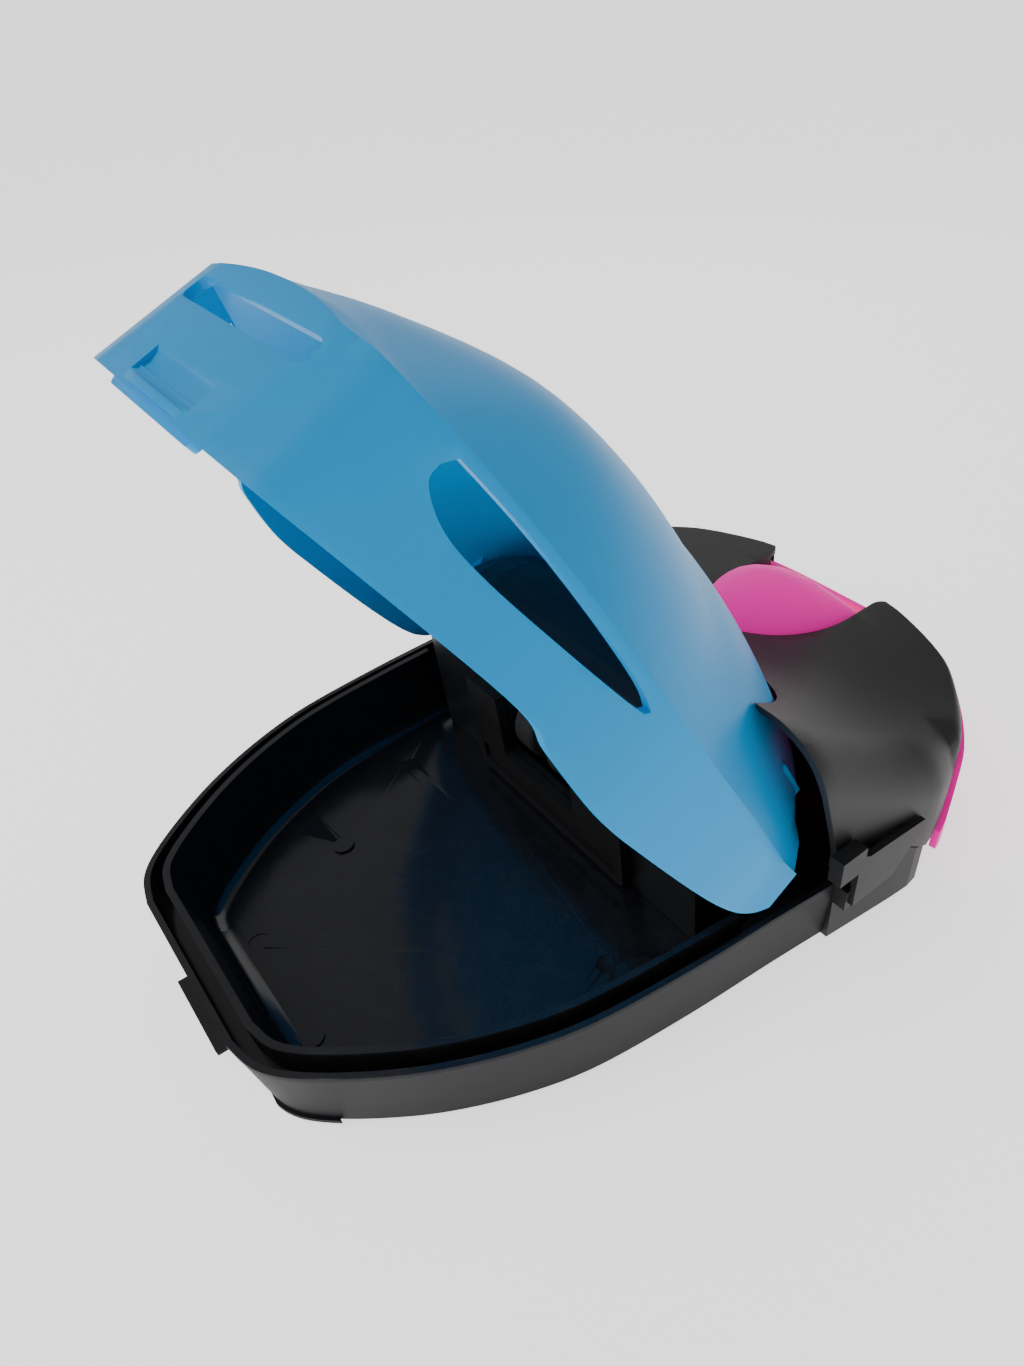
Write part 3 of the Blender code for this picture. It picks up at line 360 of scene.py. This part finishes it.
looks = {
    "sky_blue": mouldedPlastic(
        "skyBluePlastic", (0.002, 0.34, 0.76), (0.002, 0.33, 0.74), (0.01, 0.4, 0.82), 0.38, 0.08, 0.06),
    "magenta": mouldedPlastic(
        "magentaPlastic", (1.0, 0.004, 0.42), (0.97, 0.004, 0.4), (1.0, 0.02, 0.46), 0.5, 0.1, 0.08),
    "gloss_black": mouldedPlastic(
        "trayBlackPlastic", (0.010, 0.010, 0.012), (0.007, 0.007, 0.009), (0.02, 0.02, 0.022),
        0.16, 0.05, 0.02),
    "charcoal": mouldedPlastic(
        "shellCharcoalPlastic", (0.020, 0.020, 0.021), (0.018, 0.018, 0.019), (0.035, 0.035, 0.036),
        0.5, 0.08, 0.15),
    "dark_grey": mouldedPlastic(
        "housingPlastic", (0.016, 0.016, 0.017), (0.014, 0.014, 0.015), (0.03, 0.03, 0.031),
        0.42, 0.1, 0.12),
    "slate": mouldedPlastic(
        "bulkheadPlastic", (0.012, 0.014, 0.018), (0.009, 0.011, 0.015), (0.03, 0.032, 0.036),
        0.32, 0.1, 0.06),
    "rubber": mouldedPlastic(
        "rollerRubber", (0.014, 0.014, 0.014), (0.02, 0.02, 0.019), (0.04, 0.04, 0.04), 0.8, 0.1, 0.8),
    "nylon": mouldedPlastic(
        "gearNylon", (0.78, 0.77, 0.71), (0.72, 0.70, 0.63), (0.85, 0.84, 0.8), 0.45, 0.1, 0.1,
        through=0.1),
    "board": mouldedPlastic(
        "boardLacquer", (0.015, 0.17, 0.06), (0.012, 0.14, 0.05), (0.3, 0.35, 0.2), 0.35, 0.1, 0.1),
    "cell_wrap": mouldedPlastic(
        "cellSleeve", (0.07, 0.075, 0.085), (0.05, 0.055, 0.065), (0.2, 0.2, 0.2), 0.3, 0.15, 0.05),
    "steel": turnedMetal("turnedSteel", (0.62, 0.62, 0.64), 0.22, (0.1, 1.0, 1.0)),
    "brass": turnedMetal("turnedBrass", (0.78, 0.58, 0.26), 0.25, (0.1, 1.0, 1.0)),
}
satinWalls(looks["gloss_black"], 0.5)
for name, shine in (("charcoal", 0.28), ("dark_grey", 0.12), ("slate", 0.2), ("sky_blue", 0.16),
                    ("magenta", 0.1)):
    looks[name].node_tree.nodes["Principled BSDF"].inputs["Specular IOR Level"].default_value = shine
glow = looks["magenta"].node_tree.nodes["Principled BSDF"]  # painted glow: the paddle's pink gives off light of its own, though it is no lamp
glow.inputs["Emission Color"].default_value = (1.0, 0.01, 0.4, 1)
glow.inputs["Emission Strength"].default_value = 0.35
for part in frame["record"]["subparts"]:
    node = frame["nodes"][part["node"]]
    node.data.materials.clear()
    node.data.materials.append(looks[part["material_slot"]])
print("materials ready")

# ---- casing plan ----
casing = {"length": 256.0, "rim": 27.0, "seam": 154.0, "wall": 2.2, "floor": 3.0, "base": 0.8, "steps": 6}
frontPlan = ((30, 0), (41, 2.6), (50, 9), (61, 21.5), (71, 36), (80, 54), (86.5, 74),
             (91, 104), (94, 135), (97, 162), (99.2, 182), (100, 194))
rearPlan = ((100, 194), (97.5, 203), (91, 216), (81.5, 228), (69, 240.5), (60, 246), (48, 251),
            (34, 255))


def halfPlan(front=True, rear=True):
    run = [Vector((0, 0)), Vector((15, 0))] if front else []
    if front:
        run += smoothRun(frontPlan, casing["steps"])
    if rear:
        run += smoothRun(rearPlan, casing["steps"])[1 if front else 0:]
        run += [Vector((17, casing["length"])), Vector((0, casing["length"]))]
    return run


def movedIn(run, by):
    out = []
    for i, p in enumerate(run):
        a, b = run[max(i - 1, 0)], run[min(i + 1, len(run) - 1)]
        if i == 0 and p.x == 0:
            a = Vector((-b.x, b.y))
        if i == len(run) - 1 and p.x == 0:
            b = Vector((-a.x, a.y))
        t = (b - a).normalized()
        q = p + Vector((-t.y, t.x)) * by
        out.append(Vector((max(q.x, 0) if p.x > 0 else 0, q.y)))
    return out


def mirrored(run):
    return list(run) + [Vector((-p.x, p.y)) for p in reversed(run) if p.x > 1e-6]


widthStore = {}


def halfWidth(y, by=0.0):
    if by not in widthStore:
        widthStore[by] = movedIn(halfPlan(), by)
    for a, b in zip(widthStore[by], widthStore[by][1:]):
        if a.y <= y <= b.y and b.y - a.y > 1e-6:
            return a.x + (b.x - a.x) * (y - a.y) / (b.y - a.y)
    return 0.0


# ---- hood ----
hood = {
    "ridge": ((-2, 61.2), (4, 59.4), (16, 57.6), (43, 53), (80, 47), (120, 43), (154, 40)),
    "crown": ((-2, 61.5), (6, 66), (20, 75.6), (45, 88), (70, 92.6), (95, 92.6), (110, 91),
              (125, 87.6), (143, 82), (160, 74)),
    "skirt": ((-2, 28), (45, 28), (57, 24.5), (75, 20.6), (92, 20), (120, 20.4), (138, 22),
              (147, 25.2), (153, 30.5)),
    "front": 1.0, "corner": 3.2, "end": 151.5, "columns": 64, "wall": 2.2,
    "cardHalf": 29.0, "slotLow": 49.5, "slotHigh": 56.0, "scoopHalf": 15.5,
    "tongueHalf": 22.0, "tongueLow": 26.4, "flare": 5.0, "lugIn": 73.0, "lugOut": 78.0, "edge": 0.4,
}


def hoodHalf(y):
    tail = max(min((y - 126) / 16.0, 1.0), 0.0) * 1.3
    nose = max(min((10 - y) / 9.0, 1.0), 0.0) * 1.7
    corner = hood["corner"]
    full = max(halfWidth(max(y + nose, corner), 2.7) - tail, 33.0)
    if y >= corner:
        return full
    # a rounded corner beside the front wall
    return 24 + (full - 24) * math.sqrt(max(1 - ((corner - y) / 2.2) ** 2, 0.0))


def leaned(x, y, z):  # the hood's front wall leans out towards its foot
    near = min(max((24.0 - y) / 23.0, 0.0), 1.0) ** 2
    top = heightAlong(hood["ridge"], y) + 2.6
    down = max((top - z) / (top - 28.0), 0.0)
    return x * (1 + 0.12 * near * down), y - near * (1.0 + hood["flare"] * down), z


def crownAt(x, y):
    low = heightAlong(hood["ridge"], y)
    rise = heightAlong(hood["crown"], y) - low
    late = min(max((y - 95) / 48.0, 0.0), 1.0)
    return low + rise * (1 - min(abs(x) / hoodHalf(y), 1.0) ** (2.35 + 1.55 * late))


def hoodSkin(x, y):
    if y <= hingeY:
        return crownAt(x, y)
    radius, back = crownAt(x, hingeY) - hingeZ, y - hingeY
    if radius < 0:
        return crownAt(x, hingeY)
    return hingeZ + math.sqrt(max(radius * radius - back * back, 0.36 * radius * radius))


def hoodSolid(name, wall):  # a closed block under the skin, or the room inside it, a wall smaller
    ys = [1.0, 1.04, 1.16, 1.36, 1.66, 2.1, 2.7, 3.5, 4.6, 6, 8.5, 11.5, 15, 19, 23.5, 28.5]
    ys += [34 + 5.5 * k for k in range(20)] + [hingeY, 146, 149, hood["end"]]
    if wall:
        ys = [y + wall for y in ys if y + wall < hingeY] + [hingeY, 147, hood["end"], 158]
    rows = []
    count = hood["columns"]
    for y in ys:
        yy = min(y - wall * 0.6, hood["end"]) if wall else y
        wide = hoodHalf(yy)
        row = []
        for k in range(count + 1):
            x = wide * math.sin(math.radians(-90 + 180 * k / count))
            share = (wide - wall) / wide
            row.append((x * share, y, hoodSkin(x, yy) - wall * (1.0 if wall else 0.0)))
        bottom = -12 if wall else 12
        edge, rim = row[-1][0], row[-1][2]
        drops = [rim + (bottom - rim) * k / 10 for k in range(1, 11)]
        loop = row + [(edge, y, z) for z in drops]
        loop += [(edge * (1 - k / 8), y, bottom) for k in range(1, 16)]
        loop += [(-edge, y, z) for z in reversed(drops)]
        spots = [leaned(px, yy, pz) for px, py, pz in loop]
        rows.append([(px, py + y - yy, pz) for px, py, pz in spots])
    return rollGrid(name, rows)


def roundedBox(left, low, right, high, radius, steps=8):
    out = []
    for cx, cy, start in ((right - radius, low + radius, -90), (right - radius, high - radius, 0),
                          (left + radius, high - radius, 90), (left + radius, low + radius, 180)):
        for k in range(steps + 1):
            a = math.radians(start + 90 * k / steps)
            out.append((cx + radius * math.cos(a), cy + radius * math.sin(a)))
    return out


def makeHood():
    shape = hoodSolid("hoodCover", 0.0)
    room = hoodSolid("hoodRoom", hood["wall"])
    combine(shape, room)
    under = [tuple(p) for p in smoothRun(hood["skirt"], 8)]
    below = [(-20, 28)] + under + [(175, 36), (175, -30), (-20, -30)]
    combine(shape, bar("underSkirt", below, -120, 120))
    reach = crownAt((hood["lugIn"] + hood["lugOut"]) / 2, hingeY) - hingeZ - 0.8
    for side in (-1, 1):
        ear = [(132, hingeZ + reach), (147.5, hingeZ - 1 + reach)]
        for k in range(17):
            turn = -math.pi * k / 16
            ear.append((hingeY + 5.5 * math.cos(turn), hingeZ + 5.5 * math.sin(turn)))
        combine(shape, bar("ear", ear, side * hood["lugIn"], side * hood["lugOut"]), "UNION")
    foot = hood["front"] - 1.0 - hood["flare"]
    half = hood["scoopHalf"]
    dish = [(foot - 6, 31.4), (foot + 0.6, 31.4), (foot + 1.7, 32.6), (foot + 2.2, 34.6),
            (foot + 2.0, 37.0), (foot + 1.5, 38.2), (foot - 6, 38.2)]
    combine(shape, bar("scoopDish", dish, -half, half))
    turns = [math.pi * k / 24 for k in range(25)]
    ledge = [(half * math.cos(a), foot + 1.2 - 2.8 * math.sin(a)) for a in turns]
    ledge += [(-half, foot + 2.6), (half, foot + 2.6)]
    combine(shape, bar("scoopLip", ledge, 29.0, 30.9, "Z"), "UNION")
    hook = roundedBox(-hood["tongueHalf"], hood["tongueLow"], hood["tongueHalf"], 33, 1.5)
    combine(shape, bar("latchTongue", hook, foot + 1.4, foot + 3.4, "Y"), "UNION")
    slot = roundedBox(-hood["cardHalf"], hood["slotLow"], hood["cardHalf"], hood["slotHigh"], 2.4)
    combine(shape, bar("cardSlot", slot, -8, 9, "Y"))
    tear = smoothRun(((16.5, 55), (30, 53.2), (49, 49.6), (62, 46.6), (67, 44.4)), 6)
    tear += smoothRun(((66, 43.2), (60, 42.6), (45, 42), (30, 42), (21, 43.6), (15.5, 48),
                       (15, 52)), 6)
    combine(shape, bar("sideSlots", [tuple(p) for p in tear], -110, 110))
    combine(shape, drum("pinBores", (0, hingeY, hingeZ), 2.1, 170, "X"))
    easeEdges(shape, hood["edge"])
    shape.data.transform(swing)
    finishPiece(shape, "hood", ["hood"], looks["sky_blue"])


# ---- card tray ----
tray = {"draft": 2.0, "ledge": 1.8, "groove": 4.0, "grooveZ": 18.5, "lip": 1.6, "lipRise": 1.5,
        "lipEnd": 124.0, "edge": 0.4}


def trayLoop(by, back=0.0):
    run = [p for p in halfPlan(True, False) if p.y < casing["seam"] - 1]
    run.append(Vector((halfWidth(casing["seam"]), casing["seam"])))
    run = movedIn(run, by)
    run[-1] = Vector((run[-1].x, casing["seam"] + back))
    run.append(Vector((0, casing["seam"] + back)))
    return mirrored(run)


def stack(name, levels):  # outlines at rising heights, closed top and bottom
    return rollGrid(name, [[(p.x, p.y, z) for p in loop] for z, loop in levels])


def makeTray():
    seam, rim, base, floor = (casing[key] for key in ("seam", "rim", "base", "floor"))
    top = rim + tray["lipRise"]
    skin = [(base, tray["draft"] + 0.8), (base + 0.9, tray["draft"]), (rim - 2.2, 0.15),
            (rim - 1.9, 0.0), (top, 0.0)]
    shape = stack("cardTray", [(z, trayLoop(by)) for z, by in skin])
    inner = tray["ledge"] + tray["groove"] + tray["lip"]
    basin = [(floor, inner + 8.0), (floor + 0.7, inner + 5.4), (floor + 2.2, inner + 3.6),
             (floor + 4.6, inner + 2.6), (rim + 12, inner - 0.6)]
    combine(shape, stack("basin", [(z, trayLoop(by, 10)) for z, by in basin]))
    free = halfWidth(tray["lipEnd"]) - tray["ledge"] - 0.3
    combine(shape, block("lipEnd", (-free, tray["lipEnd"], tray["grooveZ"]), (free, seam + 8, 60)))
    grooveIn = tray["ledge"] + tray["groove"]
    for name, outer, core, low in (("ledgeRing", -3.0, tray["ledge"] + 2.0, rim),
                                   ("grooveRing", tray["ledge"], grooveIn, tray["grooveZ"])):
        ring = stack(name, [(low, trayLoop(outer, 10)), (rim + 9, trayLoop(outer, 10))])
        combine(ring, stack(name + "Core", [(low - 3, trayLoop(core, 20)), (rim + 12, trayLoop(core, 20))]))
        combine(shape, ring)
    combine(shape, block("latchLedge", (-15, -4, 6), (15, 3.5, 8.4)), "UNION")
    for x, y in ((-18, 20), (25, 18), (-60, 96), (60, 96)):  # ejector pin marks in the floor
        combine(shape, drum("ejectorMark", (x, y, floor + 0.15), 3.2, 0.8))
    combine(shape, drum("floorBoss", (-38, 58, floor), 3.4, 1.6), "UNION")
    for side in (-1, 1):  # low arc ledges at the front corners
        arc = [p for p in movedIn(halfPlan(True, False), 0.9) if 2 < p.y < 15]
        arc += [p for p in reversed(movedIn(halfPlan(True, False), 4)) if 2 < p.y < 15]
        combine(shape, bar("cornerArc", [(side * p.x, p.y) for p in arc], 1.4, 2.8, "Z"), "UNION")
    for x, y in ((-50, 30), (50, 30)):
        combine(shape, drum("footWell", (x, y, base), 6.3, 2.0))
    for x, y in ((-60, 60), (60, 60)):
        combine(shape, drum("screwWell", (x, y, base), 3.6, 2.2))
    easeEdges(shape, tray["edge"])
    finishPiece(shape, "casing", ["card_tray"], looks["gloss_black"])


# ---- rear shell ----
shell = {
    "saddle": ((128, 97), (137, 89), (144, 83.5), (162, 70.5), (180, 59.8), (198, 52.6),
               (216, 48.2), (234, 46.4), (256, 47.6)),
    "edge": ((130, 50), (146, 43), (153, 33), (158, 27.6), (178, 26.6), (194, 17.5), (203, 21.5),
             (211, 29), (218, 40), (256, 40)),
    "shoulder": 16.0, "notchHalf": 25.6, "notchApex": 188.0, "notchY": 237.6, "hornRound": 6.0,
    "sweep": 1.6,
}


def shellSolid(name, wall):
    ys = [130 + 4 * k for k in range(25)]
    ys += [229, 232, 235, 238, 240.5, 243, 245, 247, 249, 251, 252.6, 254, 255.2, casing["length"]]
    if wall:
        ys = ys[1:-1]
    rows = []
    for y in ys:
        near = min(y, 255.99) - (wall if y > 250 else 0.0)
        wide = max(halfWidth(near, wall), 4.0)
        top = heightAlong(shell["saddle"], y) - wall
        low = heightAlong(shell["edge"], y)
        drop = min(shell["shoulder"] * min((270 - y) / 60.0, 1.0), top + wall - low - 2.0)
        lean = max((146 - y) * 0.25, 0.0)
        base = low - (10.0 if wall else 0.0)
        half = [(wide, base), (wide, (base + top - drop) / 2)]
        for k in range(15):
            a = math.pi / 2 * k / 14
            half.append((wide - lean - drop + drop * math.cos(a), top - drop + drop * math.sin(a)))
        flat = half[-1][0]
        half += [(flat * f, top + 0.4 * (1 - f * f)) for f in (0.8, 0.6, 0.4, 0.2)]
        loop = [(x, y, z) for x, z in half]
        rows.append(loop + [(-x, yy, z) for x, yy, z in reversed(loop)])
    return rollGrid(name, rows)


def hoodReach(x, beta):  # how far the hood reaches past a direction, over its whole swing
    best = crownAt(x, hingeY) - hingeZ
    top = beta + math.radians(openTurn)
    for k in range(13):
        alpha = math.pi / 2 + (top - math.pi / 2) * k / 12
        if alpha < math.pi / 2:
            continue
        low, high = 0.0, 90.0
        for _ in range(16):
            half = (low + high) / 2
            y = hingeY + half * math.cos(alpha)
            inside = hingeZ + half * math.sin(alpha) < crownAt(x, y) and abs(x) < hoodHalf(y)
            low, high = (half, high) if inside else (low, half)
        best = max(best, low)
    return best


def sweepSolid():
    rows = []
    for k in range(41):
        x = 95.0 * math.sin(math.radians(-90 + 180 * k / 40))
        row = [(x, 113, 36.5), (x, 146, 36.5)]
        for n in range(25):
            beta = math.radians(-10 + 115 * n / 24)
            reach = max(hoodReach(x, beta), 5.0) + shell["sweep"]
            row.append((x, hingeY + reach * math.cos(beta), hingeZ + reach * math.sin(beta)))
        rows.append(row + [(x, 113, row[-1][2])])
    return rollGrid("hoodSweep", rows)


def notchLine(by, steps=40):
    half, deep = shell["notchHalf"] - by, shell["notchY"] - shell["notchApex"] - by
    turns = [math.pi + math.pi * k / steps for k in range(steps + 1)]
    return [(half * math.cos(a), shell["notchY"] + deep * math.sin(a)) for a in turns]


def notchMouth():  # the notch carried out past the rear end, its corners rounded
    half, turn = shell["notchHalf"], shell["hornRound"]
    turns = [math.pi * k / 20 for k in range(11)]
    near = [(half + turn * (1 - math.cos(a)), casing["length"] - turn * (1 - math.sin(a))) for a in turns]
    far = [(-x, y) for x, y in reversed(near)]
    return notchLine(0.0) + near + [(half + turn, 276), (-half - turn, 276)] + far


def makeShell():
    wall, half = casing["wall"], shell["notchHalf"]
    shape = shellSolid("rearShell", 0.0)
    combine(shape, shellSolid("shellRoom", wall))
    throatLine = notchLine(-wall) + [(half + wall - 1, 250), (-half - wall + 1, 250)]
    throat = bar("throat", throatLine, 40.2, 80, "Z")
    roof = [(y, heightAlong(shell["saddle"], y) - 0.5) for y in range(170, 271, 4)]
    combine(throat, bar("throatTrim", roof + [(270, 120), (170, 120)], -60, 60))
    combine(shape, throat, "UNION")
    combine(shape, bar("notch", notchMouth(), 20, 110, "Z"))
    combine(shape, block("frontTrim", (-120, 100, -20), (120, 137, 120)))
    lean = smoothRun(((152.5, 40), (150, 50), (145.5, 66), (143, 78), (136.5, 100)), 6)
    ahead = [(100, -10), (152.5, -10)] + [tuple(p) for p in lean] + [(100, 100)]
    combine(shape, bar("lipTrim", ahead, -120, 120))
    combine(shape, sweepSolid())
    easeEdges(shape, 0.5)
    finishPiece(shape, "casing", ["rear_top_shell"], looks["charcoal"])


# ---- button ----
button = {
    "gap": 1.2, "wall": 2.4, "low": 10.0, "top": 39.1, "bulge": 2.0, "end": 258.0,
    "line": ((188, 52), (200, 58), (216, 60.3), (230, 57.4), (245, 48), (256, 33), (258, 27)),
}


def tongueSolid(name, by):  # the paddle's top, or the room inside it, a wall smaller
    apex, end = shell["notchApex"] + button["gap"] + by, button["end"] - by
    deep = shell["notchY"] - apex
    ys = [apex + deep * (1 - math.cos(math.pi / 2 * (k + 0.35) / 14)) for k in range(14)]
    ys += [shell["notchY"] + 2 * k for k in range(9)] + [255, 256.4, 257.4, end]
    if by:
        ys = [y for y in ys[1:] if y < end - 0.4] + [end]
    rows = []
    for y in ys:
        share = min(max((shell["notchY"] - y) / deep, 0.0), 1.0)
        half = (shell["notchHalf"] - button["gap"] - by) * math.sqrt(max(1 - share * share, 0.0004))
        top = heightAlong(button["line"], y) - by
        edge = max(min(heightAlong(shell["saddle"], y) - 6.6, top - 0.6), top - 16)
        edge = edge - by if top - by < edge else edge
        base = min(29.0 if not by else 14.0, edge - 2)
        loop = [(half, y, base)]
        for k in range(33):
            a = math.pi * k / 32
            loop.append((half * math.cos(a), y, edge + (top - edge) * math.sin(a) ** 0.9))
        rows.append(loop + [(-half, y, base)])
    return rollGrid(name, rows)


def makeButton():
    shape = tongueSolid("pushPaddle", 0.0)
    combine(shape, tongueSolid("paddleRoom", button["wall"]))
    rear = [p for p in halfPlan(False, True) if p.y > 199.5]

    def band(by):
        out = []
        for p in rear:
            inward = (Vector((0, 190)) - p).normalized()
            out.append(p + inward * (by - button["bulge"] * min((p.y - 190) / 14, 1.0)))
        return out

    outer, inner = band(0.0), band(button["wall"])
    loop = [tuple(p) for p in outer] + [(-p.x, p.y) for p in reversed(outer[:-1])]
    back = [tuple(p) for p in inner] + [(-p.x, p.y) for p in reversed(inner[:-1])]
    apron = bar("apron", loop + list(reversed(back)), button["low"], button["top"], "Z")
    line = [(y, heightAlong(shell["edge"], y) - 2.4) for y in range(190, 219, 2)]
    combine(apron, bar("apronTrim", line + [(228, button["top"]), (228, 90), (190, 90)], -120, 120))
    combine(shape, apron, "UNION")
    combine(shape, block("seat", (-18.4, 208, 34), (18.4, 226, 36.4)), "UNION")
    combine(shape, drum("stem", (0, 216, 34.2), 2.4, 2.8), "UNION")
    easeEdges(shape, 0.5)
    finishPiece(shape, "button", ["push_button"], looks["magenta"])


# ---- stage ----
studio = {"floorTone": 0.9, "glow": 1.3, "key": 3.4, "fill": 0.1, "rim": 0.9, "world": 0.42}


def makeStage():
    clearSelection()
    bpy.ops.mesh.primitive_plane_add(size=60, location=(0, 0, -0.0004))
    floor = bpy.context.object
    floor.name = "studioFloor"
    pale = bpy.data.materials.new("palePaper")
    pale.use_nodes = True
    tone = studio["floorTone"]
    shader = pale.node_tree.nodes["Principled BSDF"]
    shader.inputs["Base Color"].default_value = (tone, tone, tone, 1)
    shader.inputs["Roughness"].default_value = 0.9
    shader.inputs["Emission Color"].default_value = (1, 1, 1, 1)
    shader.inputs["Emission Strength"].default_value = studio["glow"]
    floor.data.materials.append(pale)
    world = bpy.data.worlds.new("softRoom")
    bpy.context.scene.world = world
    world.use_nodes = True
    world.node_tree.nodes["Background"].inputs["Color"].default_value = (1, 1, 1, 1)
    world.node_tree.nodes["Background"].inputs["Strength"].default_value = studio["world"]
    for name, at, size, power in (("keyPanel", (-0.2, -0.55, 0.75), 0.7, studio["key"]),
                                  ("fillPanel", (0.7, 0.25, 0.5), 0.6, studio["fill"]),
                                  ("rimPanel", (-0.55, 0.5, 0.6), 0.5, studio["rim"])):
        bpy.ops.object.light_add(type="AREA", location=at)
        lamp = bpy.context.object
        lamp.name = name
        lamp.data.energy = power
        lamp.data.size = size
        lamp.rotation_euler = (Vector((0, 0, 0.06)) - Vector(at)).to_track_quat("-Z", "Y").to_euler()


def makeCamera():
    yaw, pitch, roll = math.radians(50.1), math.radians(44.6), math.radians(-1.3)
    ahead = Vector((-math.sin(yaw) * math.cos(pitch), math.cos(yaw) * math.cos(pitch), -math.sin(pitch)))
    right = Vector((math.cos(yaw), math.sin(yaw), 0))
    up = right.cross(ahead)
    side = math.cos(roll) * right + math.sin(roll) * up
    top = -math.sin(roll) * right + math.cos(roll) * up
    clearSelection()
    bpy.ops.object.camera_add()
    camera = bpy.context.object
    aim = Matrix((side, top, -ahead)).transposed().to_4x4()
    camera.matrix_world = Matrix.Translation((0.1904, -0.1140, 0.2227)) @ aim
    camera.data.sensor_fit = "VERTICAL"
    camera.data.sensor_height = 36
    camera.data.lens = 23.0
    camera.data.shift_x, camera.data.shift_y = -0.115, 0.086
    camera.data.clip_start = 0.005
    bpy.context.scene.camera = camera


makeCamera()
makeStage()
makeHood()
makeTray()
makeShell()
makeButton()
